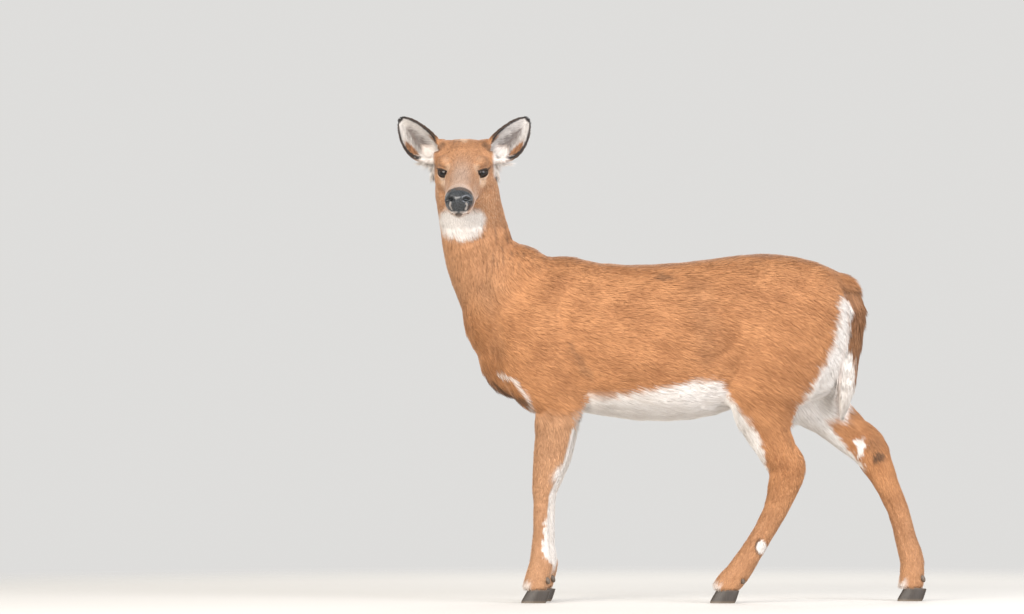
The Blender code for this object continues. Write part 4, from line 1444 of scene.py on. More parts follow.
# %% Hair finish
HAIR_COLOURS = {
    "red": ("#87542F", "#D09564"),
    "pale": ("#DDB590", "#F6D9BD"),
    "grizzled": ("#9C7C66", "#DDBEA8"),
    "grey": ("#57504D", "#9C9591"),
    "white": ("#D6CBC0", "#FFFBF7"),
    "dark": ("#3A271C", "#75543A"),
    "black": ("#110D0C", "#2C2420"),
}
HAIR_SURFACE = {
    "Roughness": 0.58,
    "IOR": 1.45,
    "Specular IOR Level": 0.35,
    "Sheen Weight": 0.12,
    "Sheen Roughness": 0.5,
}
PATCH_SIZE = 60 * MM
FLECK_SIZE = 3 * MM
# Painted shade darkens each lock towards its root, where locks cover one another, and painted light brightens
# its tip.
ROOT_PAINTED_SHADE, TIP_PAINTED_LIGHT = 0.84, 1.05
# Painted shadow: the skin under the locks is darkened to 0.8 of its colour.
HIDE_PAINTED_SHADOW = (0.80, 0.80, 0.80, 1.0)


def hair_material(name, locks):
    """Locks carry their own shade of colour, painted shade at the root and painted light at the tip. Skin
    takes its shade of colour from fine flecks and is darkened by painted shadow.
    """
    material, tree, shader = new_material(name)
    place = add(tree, "ShaderNodeNewGeometry")["Position"]
    coarse = {"Vector": place, "Scale": 1 / PATCH_SIZE, "Detail": 3.0}
    patches = add(tree, "ShaderNodeTexNoise", coarse)["Fac"]
    fine = {"Vector": place, "Scale": 1 / FLECK_SIZE, "Detail": 2.0}
    flecks = add(tree, "ShaderNodeTexNoise", fine)["Fac"]
    own = add(tree, "ShaderNodeAttribute", attribute_name="strand")["Fac"] if locks else flecks
    patchy = add(tree, "ShaderNodeMath", {0: patches, 1: 0.28}, operation="MULTIPLY")["Value"]
    shade = add(tree, "ShaderNodeMath", {0: own, 1: 0.74, 2: patchy}, operation="MULTIPLY_ADD")["Value"]
    colour = None
    for mark, (dark, light) in HAIR_COLOURS.items():
        hair = {SHARE: shade, FIRST: dark, SECOND: light}
        hair = add(tree, "ShaderNodeMix", hair, data_type="RGBA")[MIXED]
        if colour:
            share = add(tree, "ShaderNodeAttribute", attribute_name=mark)["Fac"]
            hair = {SHARE: share, FIRST: colour, SECOND: hair}
            hair = add(tree, "ShaderNodeMix", hair, data_type="RGBA")[MIXED]
        colour = hair
    if locks:
        # Along each lock its colour goes from painted shade at the root to painted light at the tip.
        along = add(tree, "ShaderNodeAttribute", attribute_name="along")["Fac"]
        limits = {"Value": along, "To Min": ROOT_PAINTED_SHADE, "To Max": TIP_PAINTED_LIGHT}
        light = add(tree, "ShaderNodeMapRange", limits)["Result"]
    else:
        # The skin under the locks takes painted shadow.
        light = HIDE_PAINTED_SHADOW
        height = {"Height": flecks, "Strength": 0.5, "Distance": 0.6 * MM}
        wire(tree, shader, {"Normal": add(tree, "ShaderNodeBump", height)["Normal"]})
    # Multiply the colour by the painted light and shade.
    painted_light_and_shade = {SHARE: 1.0, FIRST: colour, SECOND: light}
    colour = add(tree, "ShaderNodeMix", painted_light_and_shade, data_type="RGBA", blend_type="MULTIPLY")[MIXED]
    wire(tree, shader, {"Base Color": colour, **HAIR_SURFACE})
    return material


lock_finish = hair_material("deer hair in locks", True)
hide_finish = hair_material("deer hide under hair", False)
skin.data.materials.clear()
skin.data.materials.append(hide_finish)
skin.data.shade_smooth()
print("hair in", len(HAIR_COLOURS), "colours")

# %% [markdown]
# ## The nose
#
# The pad round the nostrils is bare, moist and black-grey, with a fine pebbled grain. It
# is cut out of the skin along its edge, so it meets the hair without a step, and then has
# a finish of its own: a Voronoi pattern of two millimetres for the pebbles.

# %% Nose pad
PEBBLE_SIZE = 2.0 * MM
BLOT_SIZE = 6.25 * MM
NOSE_SURFACE = {"Roughness": 0.30, "IOR": 1.40, "Coat Weight": 0.6, "Coat Roughness": 0.18}


def split_off(name, faces_wanted):
    """Move some faces of the skin to an object of their own."""
    made = object_from(name, skin.data.copy())
    for obj, unwanted in ((made, ~faces_wanted), (skin, faces_wanted)):
        work = bmesh.new()
        work.from_mesh(obj.data)
        work.faces.ensure_lookup_table()
        gone = [work.faces[i] for i in np.flatnonzero(unwanted)]
        bmesh.ops.delete(work, geom=gone, context="FACES")
        work.to_mesh(obj.data)
        work.free()
    return made


def nose_material():
    """Moist bare skin: dark blue-grey, pebbled, with a wet film."""
    material, tree, shader = new_material("moist pebbled nose skin")
    place = add(tree, "ShaderNodeNewGeometry")["Position"]
    grain = {"Vector": place, "Scale": 1 / PEBBLE_SIZE}
    pebbles = add(tree, "ShaderNodeTexVoronoi", grain, feature="F1")["Distance"]
    blots = {"Vector": place, "Scale": 1 / BLOT_SIZE, "Detail": 3.0}
    patches = add(tree, "ShaderNodeTexNoise", blots)["Fac"]
    skin_greys = {SHARE: patches, FIRST: "#1B1D20", SECOND: "#4A4F54"}
    colour = add(tree, "ShaderNodeMix", skin_greys, data_type="RGBA")[MIXED]
    colour = soft_mark(tree, colour, pebbles, 0.25, 0.75, "#121315")
    # Pale greys for the lip's edge and for the painted highlights on the nostril rims.
    lip_and_highlight_greys = {SHARE: patches, FIRST: "#857A73", SECOND: "#D2C7BE"}
    lip = add(tree, "ShaderNodeMix", lip_and_highlight_greys, data_type="RGBA")[MIXED]
    # Near-black painted shade in the nostril hollows.
    for mark, over in (("lip_pale", lip), ("hollow", "#070707")):
        share = add(tree, "ShaderNodeAttribute", attribute_name=mark)["Fac"]
        parts = {SHARE: share, FIRST: colour, SECOND: over}
        colour = add(tree, "ShaderNodeMix", parts, data_type="RGBA")[MIXED]
    height = {"Height": pebbles, "Strength": 0.8, "Distance": 0.0005}
    relief = add(tree, "ShaderNodeBump", height, invert=True)["Normal"]
    wire(tree, shader, {"Base Color": colour, "Normal": relief, **NOSE_SURFACE})
    return material


def nose_marks(points):
    """The nostrils' hollows, darkened by painted shade, and the pale rims that run from them to the lip:
    painted highlights below the nostrils and the pale edge of the lip.
    """
    ahead, side, up = in_head(points + 0.0006 * waver(points, 0.006, 41)[:, None]).T
    folded = np.stack([ahead, np.abs(side), up], axis=1)
    # Painted shade in and round the nostril hollows.
    nostril = ramp(distance_to_path(folded, NOSTRIL), 0.0062, 0.0036)
    slit = ramp(distance_to_path(folded, NOSTRIL_SLIT), 0.0042, 0.0022)
    # Painted highlights on the rims below the nostrils, and the pale edge of the lip.
    rim = ramp(distance_to_path(folded, NOSTRIL_RIM), 0.0032, 0.0012)
    lip = ramp(distance_to_path(folded, LIP_EDGE), 0.0036, 0.0016)
    hollow = np.maximum(nostril, slit)
    return hollow, 0.5 * np.maximum(rim, lip) * (1 - hollow)


hollow, lip_pale = nose_marks(read_points(skin.data))
keep_values(skin.data, hollow=hollow, lip_pale=lip_pale)
face_centres = read(skin.data.polygons, "center").astype(float)
pad = split_off("nose_pad", nose_pad(face_centres) > 0.5)
pad.data.materials.clear()
pad.data.materials.append(nose_material())
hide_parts("nose")
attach(pad, "root")
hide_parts(*[name for name in flesh if name != "nose"])
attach(skin, "root")
print("nose pad:", len(pad.data.polygons), "faces, skin:", len(skin.data.polygons))

# %% [markdown]
# ## Locks of hair
#
# One lock is a slim spindle with a flat underside: a root sunk in the skin, one or more
# rings of three points, and a tip. With one ring it has six faces, so the coat can have a
# great many locks. They are written as whole arrays at once, which is fast. Every lock
# keeps the markings near its middle, a shade of its own, and how far each point is along it.
#
# Each coat also gets a flat map for later painting: the skin is unrolled round the axis of
# its limb, and every lock is one tiny patch at the place of its root. The locks are lit
# partly as the skin below them would be, so the coat shades softly.

# %% Build locks as a mesh
PATCH = 0.003
LIFT_BY_RINGS = {1: (0.45,), 2: (0.30, 0.68)}
FULL_BY_RINGS = {1: (1.0,), 2: (1.0, 0.72)}
ROOT_DEPTH = 0.6 * MM
UNDERSIDE, RIDGE = 0.18, 0.46
MARK_SHARE = 0.55
SMOOTH_LIGHT = 0.57


def lock_faces(rings):
    """The faces of one lock. Each ring is left, right and top."""
    faces = [(0, 1, 3), (0, 3, 2), (0, 2, 1)]
    for ring in range(rings - 1):
        low = 1 + 3 * ring
        for a, b in ((0, 2), (2, 1), (1, 0)):
            faces += [(low + a, low + 3 + a, low + 3 + b), (low + a, low + 3 + b, low + b)]
    left, right, top = (3 * rings - 2 + k for k in range(3))
    tip = 3 * rings + 1
    return np.array(faces + [(tip, top, left), (tip, right, top), (tip, left, right)])


def mesh_of_arrays(name, points, faces):
    mesh = bpy.data.meshes.new(name)
    mesh.vertices.add(len(points))
    mesh.vertices.foreach_set("co", points.astype(np.float32).ravel())
    mesh.loops.add(faces.size)
    mesh.loops.foreach_set("vertex_index", faces.astype(np.int32).ravel())
    mesh.polygons.add(len(faces))
    mesh.polygons.foreach_set("loop_start", np.arange(0, faces.size, 3, dtype=np.int32))
    mesh.update(calc_edges=True)
    return mesh


class Locks:
    """Many locks: where they stand, the way they lie and their sizes. Lifts are of the tips."""

    def __init__(self, roots, normals, ways, lengths, widths, lifts, shades):
        self.roots, self.normals, self.ways = roots, normals, ways
        self.lengths, self.widths, self.lifts, self.shades = lengths, widths, lifts, shades

    def middle(self, share):
        """The middle line of every lock at a share of its length."""
        rise = self.lifts * share**0.75 - ROOT_DEPTH * (1 - share) ** 3
        return self.roots + self.ways * (self.lengths * share)[:, None] + self.normals * rise[:, None]

    def shape(self, rings):
        """The points of every lock, and how far across and along each point is."""
        sides = unit(np.cross(self.normals, self.ways))
        points = np.empty((len(self.roots), 3 * rings + 2, 3))
        across, along = np.zeros((2, 3 * rings + 2))
        points[:, 0], points[:, -1], along[-1] = self.middle(0.0), self.middle(1.0), 1.0
        for ring, (share, full) in enumerate(zip(LIFT_BY_RINGS[rings], FULL_BY_RINGS[rings])):
            half = (self.widths * full / 2)[:, None]
            middle = self.middle(share)
            low = 1 + 3 * ring
            points[:, low] = middle - sides * half - self.normals * half * UNDERSIDE
            points[:, low + 1] = middle + sides * half - self.normals * half * UNDERSIDE
            points[:, low + 2] = middle + self.normals * half * RIDGE
            across[low : low + 3] = (-0.5, 0.5, 0.0)
            along[low : low + 3] = share
        return points, across, along


def build_locks(name, locks, unroll, rings=1, paint=None, even=SMOOTH_LIGHT):
    """Locks in one mesh. Paint gives marks of its own, and even is how far the skin's light counts."""
    count = len(locks.roots)
    points, across, along = locks.shape(rings)
    per_lock = len(along)
    pattern = lock_faces(rings)
    faces = (pattern[None] + (np.arange(count) * per_lock)[:, None, None]).reshape(-1, 3)
    mesh = mesh_of_arrays(name, points.reshape(-1, 3), faces)
    shape = np.stack([(along - 0.5) * PATCH, across * PATCH], axis=1)
    corners = (unroll[:, None] + shape[None])[:, pattern.ravel()].reshape(-1, 2)
    chart = mesh.uv_layers.new(name="OFBake")
    chart.data.foreach_set("uv", corners.astype(np.float32).ravel())
    marks = markings(locks.roots + locks.ways * (locks.lengths * MARK_SHARE)[:, None], locks.normals)
    for mark, values in marks.items():
        values = values if paint is None else np.full(count, paint.get(mark, 0.0))
        keep_values(mesh, **{mark: np.repeat(values, per_lock)})
    keep_values(mesh, strand=np.repeat(locks.shades, per_lock), along=np.tile(along, count))
    mesh.shade_smooth()
    skin_light = np.repeat(locks.normals, per_lock, axis=0)
    blended = unit(skin_light * even + read_normals(mesh) * (1 - even))
    mesh.normals_split_custom_set_from_vertices(blended)
    mesh.materials.append(lock_finish)
    return object_from(name, mesh)


print("a short lock has", len(lock_faces(1)), "faces and a long one", len(lock_faces(2)))

# %% [markdown]
# ## Where the locks grow
#
# Roots are scattered over the skin by area. Pure chance leaves bald spots and crowds, so
# three times as many are drawn as wanted and only one is kept in each small cell of space.
# The tips of neighbours lean together a little, because real hair parts into locks.

# %% Scatter roots
DRAWS = 3
CELL_SIZE = 0.80
skin_points = read_points(skin.data)
skin_normals = read_normals(skin.data)
skin.data.calc_loop_triangles()
skin_corners = read(skin.data.loop_triangles, "vertices", np.int32)
skin_centres = skin_points[skin_corners].mean(axis=1)
first, second, third = (skin_points[skin_corners[:, k]] for k in range(3))
skin_areas = np.linalg.norm(np.cross(second - first, third - first), axis=1) / 2


def cells(points, size):
    """One number for the small cube of space that each point is in."""
    return (np.floor(points / size).astype(np.int64) * np.array((1, 4099, 16785407))).sum(axis=1)


def scatter(where, count):
    """About this many roots on the triangles of a region, with their normals."""
    weights = skin_areas * where(skin_centres)
    picked = rng.choice(len(skin_corners), size=count * DRAWS, p=weights / weights.sum())
    a, b = rng.random((2, count * DRAWS))
    over = a + b > 1
    a, b = np.where(over, 1 - a, a), np.where(over, 1 - b, b)
    corners = skin_corners[picked]
    mix = np.stack([1 - a - b, a, b], axis=1)[:, :, None]
    roots = (skin_points[corners] * mix).sum(axis=1)
    normals = unit((skin_normals[corners] * mix).sum(axis=1))
    size = math.sqrt(weights.sum() / count) * CELL_SIZE
    kept = np.unique(cells(roots, size), return_index=True)[1]
    if len(kept) > count:
        kept = rng.permutation(kept)[:count]
    return roots[kept], normals[kept]


def lean_together(roots, normals, ways, lengths, size, strength):
    """Turn each lock towards the middle of the tips in its cell of space."""
    tips = roots + ways * lengths[:, None]
    members = np.unique(cells(tips, size), return_inverse=True)[1].ravel()
    crowd = np.bincount(members)
    middles = np.stack([np.bincount(members, tips[:, k]) / crowd for k in range(3)], axis=1)[members]
    return unit(without(ways + (middles - tips) / lengths[:, None] * strength, normals))


print("skin to grow hair on:", round(float(skin_areas.sum()), 3), "square metres")

# %% [markdown]
# ## Flat maps
#
# A limb is unrolled like a tube: the way along its axis runs across the map, and the way
# round it runs up. Where one coat covers two limbs, each has a band of the map.

# %% Unroll limbs
MAP_EDGE = 0.01


def unrolled(points, start, end, band=(0.0, 1.0)):
    """The skin unrolled round an axis: along it one way and round it the other."""
    start, end = np.array(start, float), np.array(end, float)
    axis = unit(end - start)
    first = unit(np.cross(axis, (0.31, 0.17, 0.94)))
    second = np.cross(axis, first)
    reach = points - start
    along = reach @ axis
    turn = np.arctan2(reach @ second, reach @ first) / (2 * np.pi) + 0.5
    along = (along - along.min()) / max(float(np.ptp(along)), 1e-6)
    low, high = band
    across = low + MAP_EDGE + (high - low - 2 * MAP_EDGE) * turn
    return np.stack([MAP_EDGE + (1 - 2 * MAP_EDGE) * along, across], axis=1)


def round_axis(start, end):
    def place(points):
        return unrolled(points, start, end)

    return place


def left_of_body(points):
    return points[:, 1] < middle_y


def left_of_head(points):
    return in_head(points)[:, 1] > 0


def round_two(is_left, left, right):
    """Unroll a limb on her left and one on her right, each round its own start and end."""

    def place(points):
        found = np.full((len(points), 2), 0.5)
        on_left = is_left(points)
        for here, limb, band in ((on_left, left, (0.0, 0.5)), (~on_left, right, (0.5, 1.0))):
            if here.any():
                found[here] = unrolled(points[here], *limb, band)
        return found

    return place


print("flat maps keep", MAP_EDGE, "free at their edges")

# %% [markdown]
# ## Regions of the coat
#
# Each part of the coat is its own mesh and grows on its own region of the skin. A region is
# a yes or no for each point: neck, head, ears, tail, quarters of the trunk, and pairs of legs.

# %% Regions of the coat
EAR_TUFT, EAR_TUFT_REACH = (-0.059, 0.065, 0.004), 0.026
NECK_PLANE = (-0.358, 0.70)
NECK_PLANE_FACES = (-0.616, 0.788)
LEG_TOP = 0.40
TRUNK_MIDDLE = -0.02
BETWEEN_LEGS = -0.1
TIP_FREE = 0.022


def is_ear(points):
    return near_ears(points) >= 0.5


def is_tail(points):
    return on_tail(points) > 0.5


def is_tail_above_tip(points):
    return is_tail(points) & (points[:, 2] > TAIL_END + TIP_FREE)


def before_neck_plane(points):
    """Ahead of a slanting plane between the neck and the trunk, with the head taken off."""
    x, z = points[:, 0] - NECK_PLANE[0], points[:, 2] - NECK_PLANE[1]
    ahead = ramp(NECK_PLANE_FACES[0] * x + NECK_PLANE_FACES[1] * z, -0.002, 0.002) > 0.5
    return ahead & (near_head(points) < 0.5)


def is_neck(points):
    return before_neck_plane(points) & ~is_ear(points)


def is_head(points):
    return (near_head(points) > 0.5) & ~is_ear(points) & (nose_pad(points) < 0.5)


def is_ear_lining(points):
    """The cup of each ear, short of its tip."""
    found = np.zeros(len(points), bool)
    for ear in ears.values():
        share, rim, inside = ear.read(points)
        found |= inside & (share > 0.06) & (share < 0.86) & (np.abs(rim) < 0.9)
    return found & is_ear(points)


def is_ear_base(points):
    """A patch below and behind each ear, where long white hair hangs."""
    ahead, side, up = in_head(points).T
    gap = np.linalg.norm(np.stack([ahead, np.abs(side), up], axis=1) - EAR_TUFT, axis=1)
    return (gap < EAR_TUFT_REACH) & ~is_ear(points)


def is_trunk(points):
    rest = before_neck_plane(points) | (near_head(points) > 0.5) | is_ear(points) | is_tail(points)
    return ~rest & (points[:, 2] >= LEG_TOP)


def trunk_quarter(left, front):
    def test(points):
        in_front = points[:, 0] < TRUNK_MIDDLE
        return is_trunk(points) & (left_of_body(points) == left) & (in_front == front)

    return test


def is_leg(front):
    def test(points):
        return (points[:, 2] < LEG_TOP) & ((points[:, 0] < BETWEEN_LEGS) == front) & ~is_tail(points)

    return test


for region in (is_neck, is_head, is_ear, is_ear_lining, is_ear_base, is_tail, is_trunk):
    print(region.__name__, "covers", int(region(skin_centres).sum()), "triangles")

# %% [markdown]
# ## How hair turns on the ears and the tail
#
# Three places have a lie of their own. On the backs of the ears hair runs to the tip, and
# in the cups it runs from the rims in and up. Below each ear it hangs. On the tail it runs
# down and closes towards the tip.

# %% The lie of hair on the ears and the tail
TAIL_MIDDLE_Z = (0.414, 0.471, 0.532, 0.598, 0.656, 0.696)
TAIL_MIDDLE_X = (0.3925, 0.3975, 0.403, 0.4095, 0.4135, 0.394)
TAIL_CLOSING = 0.20
TAIL_LOOK_DOWN = 0.02


def ear_lie(points, normals, ways):
    """Outside, hair runs to the tip. Inside, it runs from the rims in and up."""
    turned = ways.copy()
    for ear in ears.values():
        share, rim, inside = ear.read(points)
        here = ear.around(points, 0.06, 0.07, 0.1)
        inner = ear.along * 0.9 - ear.across * np.clip(rim * 2.5, -1, 1)[:, None] * 0.75
        turned[here] = np.where(inside[:, None], inner, ear.along)[here]
    return unit(without(turned, normals))


def hang_down(points, normals, ways):
    """Down and a little out from the head, as the hair below the ears hangs."""
    outward = np.sign(in_head(points)[:, 1])[:, None] * head_axes[1]
    turned = outward * 0.45 - head_axes[2] * 0.9 + rng.normal(size=points.shape) * 0.12
    return unit(without(turned, normals, 0.8))


def tail_lie(points, normals, ways):
    """Down the tail, closing towards its tip."""
    x, y, z = points.T
    middle = np.interp(z, TAIL_MIDDLE_Z, TAIL_MIDDLE_X)
    below = np.interp(z - TAIL_LOOK_DOWN, TAIL_MIDDLE_Z, TAIL_MIDDLE_X)
    back = (below - middle) / TAIL_LOOK_DOWN + (middle - x) / TAIL_CLOSING
    turned = np.stack([back, (middle_y - y) / TAIL_CLOSING, -np.ones(len(points))], axis=1)
    return unit(without(turned, normals))


print("the tail closes towards a line from z =", TAIL_MIDDLE_Z[-1], "down to", TAIL_MIDDLE_Z[0])

# %% [markdown]
# ## Growing one part
#
# Every part grows in the same way. Roots are scattered, hairs take the lie of the coat and
# swirl a little, and lengths and widths vary from lock to lock. The tips lift to the depth
# of the coat. A shade for each lock comes from long streaks along the hair and from chance.

# %% Grow one part of the coat
LEAST_LIFT = 0.9 * MM


def same(size):
    """A length or width in mm that is the same everywhere."""

    def measure(points):
        return np.full(len(points), float(size))

    return measure


def shades_of(roots, ways):
    """A shade for each lock: streaks along the hair, wide patches, and chance."""
    drawn = roots - ways * ((roots * ways).sum(axis=1, keepdims=True) * 0.75)
    streaks = 0.22 * waver(drawn, 0.010, 21) + 0.10 * waver(roots, 0.05, 22) + 0.10 * waver(roots, 0.12, 23)
    return np.clip(0.5 + streaks + 0.14 * rng.normal(size=len(roots)), 0, 1)


def grow(
    name,
    where,
    count,
    length,
    width,
    axis,
    slot="coat",
    clump=(9, 0.16),
    lift=0.85,
    stand=0.0,
    turn=None,
    **finish,
):
    """One part of the coat. Length and width are functions of place. Sizes are in mm."""
    roots, normals = scatter(where, count)
    ways = lie_of_hair(roots, normals)
    if turn:
        ways = turn(roots, normals, ways)
    swirl = 0.10 * waver(roots, 0.09, 11) + 0.045 * rng.normal(size=len(roots))
    ways = unit(ways + np.cross(normals, ways) * swirl[:, None])
    lengths = length(roots) * MM * rng.uniform(0.75, 1.2, len(roots))
    widths = width(roots) * MM * rng.uniform(0.75, 1.25, len(roots))
    ways = lean_together(roots, normals, ways, lengths, clump[0] * MM, clump[1])
    lifts = coat_depth(roots) * lift * rng.uniform(0.72, 1.05, len(roots))
    lifts = np.maximum(lifts, LEAST_LIFT) + stand * MM * rng.uniform(0.4, 1.2, len(roots))
    locks = Locks(roots, normals, ways, lengths, widths, lifts, shades_of(roots, ways))
    coat = build_locks(name, locks, axis(roots), **finish)
    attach(coat, "root")
    print(name, len(roots), "locks,", len(coat.data.polygons), "faces")


print("hair lifts at least", LEAST_LIFT / MM, "mm off the skin")

# %% [markdown]
# ## The coat of the trunk, neck and head
#
# Hair is longest on the belly and the flanks, shorter on the neck, and shortest on the
# muzzle and round the eyes. The trunk has four parts, so that none grows too large.

# %% Coat of the trunk, neck and head
TRUNK_LOCKS, NECK_LOCKS, HEAD_LOCKS = 27600, 25000, 30000


def trunk_length(points):
    """25 mm on the flanks and 30 on the belly."""
    return 25 + 5 * ramp(points[:, 2], 0.50, 0.42)


def head_length(points):
    """3 mm on the muzzle and round the eyes, and 8.5 on the cheeks and the crown."""
    length = 8.5 - 5.5 * ramp(in_head(points)[:, 0], -0.03, 0.07)
    for eye in eyes.values():
        along, height, margin, distance = eye.read(points)
        near_eye = ramp(margin, 12 * MM, 3 * MM) * ramp(distance, 0.04, 0.03)
        length = length - np.maximum(length - 3.0, 0) * near_eye
    return length


def head_width(points):
    return 0.75 + 0.05 * head_length(points)


trunk_axis = round_axis((-0.45, middle_y, 0.59), (0.42, middle_y, 0.59))
neck_axis = round_axis((-0.43, middle_y - 0.06, 0.93), (-0.33, middle_y, 0.62))
head_axis = round_axis(from_head((0.16, 0, -0.01)), from_head((-0.12, 0, -0.01)))
for left in (True, False):
    for front in (True, False):
        name = f"coat_{'left' if left else 'right'}_{'front' if front else 'rear'}"
        grow(name, trunk_quarter(left, front), TRUNK_LOCKS, trunk_length, same(1.30), trunk_axis)
grow("coat_neck", is_neck, NECK_LOCKS, same(20), same(1.30), neck_axis)
grow("coat_head", is_head, HEAD_LOCKS, head_length, head_width, head_axis, clump=(5, 0.2))

# %% [markdown]
# ## The coat of the ears
#
# Short hair covers both sides of the ears, longer hair fills their cups, and long white
# tufts hang below their roots. The long locks have a second ring, so that they bend.

# %% Coat of the ears
EAR_LOCKS, LINING_LOCKS, TUFT_LOCKS = 15000, 3600, 3000
ear_axes = [(ear.point(0.0, 0.0, 0.02), ear.point(1.0, 0.0, 0.02)) for ear in ears.values()]
ear_map = round_two(left_of_head, *ear_axes)
grow("coat_ears", is_ear, EAR_LOCKS, same(6), same(0.9), ear_map, clump=(4, 0.2), turn=ear_lie)
grow(
    "coat_ear_lining",
    is_ear_lining,
    LINING_LOCKS,
    same(15),
    same(0.8),
    ear_map,
    clump=(6, 0.5),
    stand=2.5,
    turn=ear_lie,
    rings=2,
)
grow(
    "coat_ear_base",
    is_ear_base,
    TUFT_LOCKS,
    same(33),
    same(1.2),
    ear_map,
    slot="white_coat",
    clump=(8, 0.4),
    stand=7.0,
    turn=hang_down,
    rings=2,
    paint={"white": 1.0},
    even=0.0,
)

# %% [markdown]
# ## The coat of the legs and the tail
#
# Hair shortens and thins down the legs. The tail is the opposite: long loose hair that
# makes most of its width, brown on top and white at the edges.

# %% Coat of the legs and the tail
FORE_LOCKS, HIND_LOCKS, TAIL_LOCKS = 18000, 25000, 8000


def leg_share(points):
    """1 at the top of the legs and 0 at the feet."""
    return np.clip(points[:, 2] / LEG_TOP, 0, 1)


def leg_length(points):
    return 7.5 + 9 * leg_share(points)


def leg_width(points):
    return 0.85 + 0.4 * leg_share(points)


def leg_axis(leg):
    """From above the leg down to its foot."""
    low = middle_of(leg + "_pastern")
    return Vector((low.x + 0.03, low.y, 0.45)), low


for pair, count in (("fore", FORE_LOCKS), ("hind", HIND_LOCKS)):
    leg_map = round_two(left_of_body, leg_axis(pair + "_left"), leg_axis(pair + "_right"))
    grow(f"coat_{pair}_legs", is_leg(pair == "fore"), count, leg_length, leg_width, leg_map)
tail_axis = round_axis((TAIL_X, middle_y, TAIL_TOP), (TAIL_X, middle_y, TAIL_END))
grow(
    "coat_tail",
    is_tail_above_tip,
    TAIL_LOCKS,
    same(42),
    same(2.0),
    tail_axis,
    slot="white_coat",
    clump=(14, 0.25),
    lift=0.6,
    turn=tail_lie,
    rings=2,
    even=0.40,
)

# %% [markdown]
# ## Lashes and whiskers
#
# Stiff black hairs stand along each upper lid, and a few long ones grow from the muzzle
# and the chin. They are the same spindles as the locks, only finer, straighter and black.

# %% Lashes and whiskers
LASHES = 34
WHISKERS = 26
LASH_WIDTH = 0.5 * MM
WHISKER_WIDTH = 0.38 * MM
STIFF_LIFT = 1.2 * MM


def stiff_hairs(name, roots, ways, lengths, width):
    count = len(roots)
    upward = np.repeat(head_axes[2][None], count, axis=0)
    widths, lifts = np.full(count, width), np.full(count, STIFF_LIFT)
    locks = Locks(roots, upward, unit(ways), lengths, widths, lifts, np.zeros(count))
    hairs = build_locks(name, locks, np.full((count, 2), 0.5), rings=2, paint={"black": 1.0}, even=0.0)
    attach(hairs, "root")
    print(name, count, "hairs")


def grow_lashes():
    roots, ways = [], []
    for eye in eyes.values():
        for turn in np.linspace(0.12, 0.92, LASHES) * math.pi:
            root = eye.rim(turn, eye_radius + 1.5 * MM)
            roots.append(root)
            ways.append(eye.gaze * 0.8 + eye.up * 0.25 - eye.nose_ward * 0.55 + unit(root - eye.centre) * 0.4)
    lengths = rng.uniform(5.5, 8.0, len(roots)) * MM
    stiff_hairs("lashes", np.array(roots), np.array(ways), lengths, LASH_WIDTH)


def grow_whiskers():
    ahead, side, up = in_head(skin_points).T
    places = (ahead > 0.085) & (ahead < 0.128) & (np.abs(side) > 0.012) & (up < 0.006) & (up > -0.036)
    places &= (nose_pad(skin_points) < 0.1) & (near_head(skin_points) > 0.9)
    chosen = rng.choice(np.flatnonzero(places), WHISKERS, replace=False)
    ways = skin_normals[chosen] * 0.8 + head_axes[0] * 0.25 - head_axes[2] * 0.2
    ways = ways + rng.normal(size=(WHISKERS, 3)) * 0.15
    lengths = rng.uniform(16, 30, WHISKERS) * MM
    stiff_hairs("whiskers", skin_points[chosen], ways, lengths, WHISKER_WIDTH)


grow_lashes()
grow_whiskers()

# %% [markdown]
# ## Hooves
#
# Each foot stands on two claws of horn, with two small dewclaws behind. Horn grows down
# from the coronet, so it shows faint rings round it and fine lines down it, and it is worn
# dull at the ground. The claws are turned out of rounded outlines: wide at the heel,
# pointed at the toe, with the wall sloping back as it rises.

# %% Shapes of horn
CLAW_POINTS = 48
CLAW_LEVELS = 12
CLAW_LENGTH, CLAW_SLOPE = 0.86, 0.20
TAPER, SOLE_ROUNDING, TOE_NARROWING = 0.14, 0.05, 0.42
CLEFT_SIDE = 0.90
TOE_SPREAD = 0.0012
HEEL_DROP = 0.10
DEWCLAW_SIZES = (0.0052, 0.0054, 0.0092, 1.0)
DEWCLAW_LEAN = math.radians(-24)
DEWCLAW_SET_FORWARD = Vector((1.8 * MM, 0.0, 0.0))


def claw_point(low, high, toe_side, rise, turn):
    """One point of a claw's wall, at a share of its height and a turn round it from the toe."""
    size = 1 - TAPER * rise**1.3 - SOLE_ROUNDING * max(0.0, 0.12 - rise) / 0.12
    half_length, half_width, height = (high - low) * (CLAW_LENGTH / 2, 0.5, 1.0)
    ahead, across = math.cos(turn), math.sin(turn)
    narrow = 1 - TOE_NARROWING * max(ahead, 0.0) ** 1.7
    cleft = CLEFT_SIDE if across * toe_side < 0 else 1.0
    x = low[0] + half_length - ahead * half_length * size + (high[0] - low[0]) * CLAW_SLOPE * rise
    y = (low[1] + high[1]) / 2 + across * half_width * size * narrow * cleft + toe_side * TOE_SPREAD * ahead
    return x, y, low[2] + rise * height * (1 - HEEL_DROP * max(-ahead, 0))


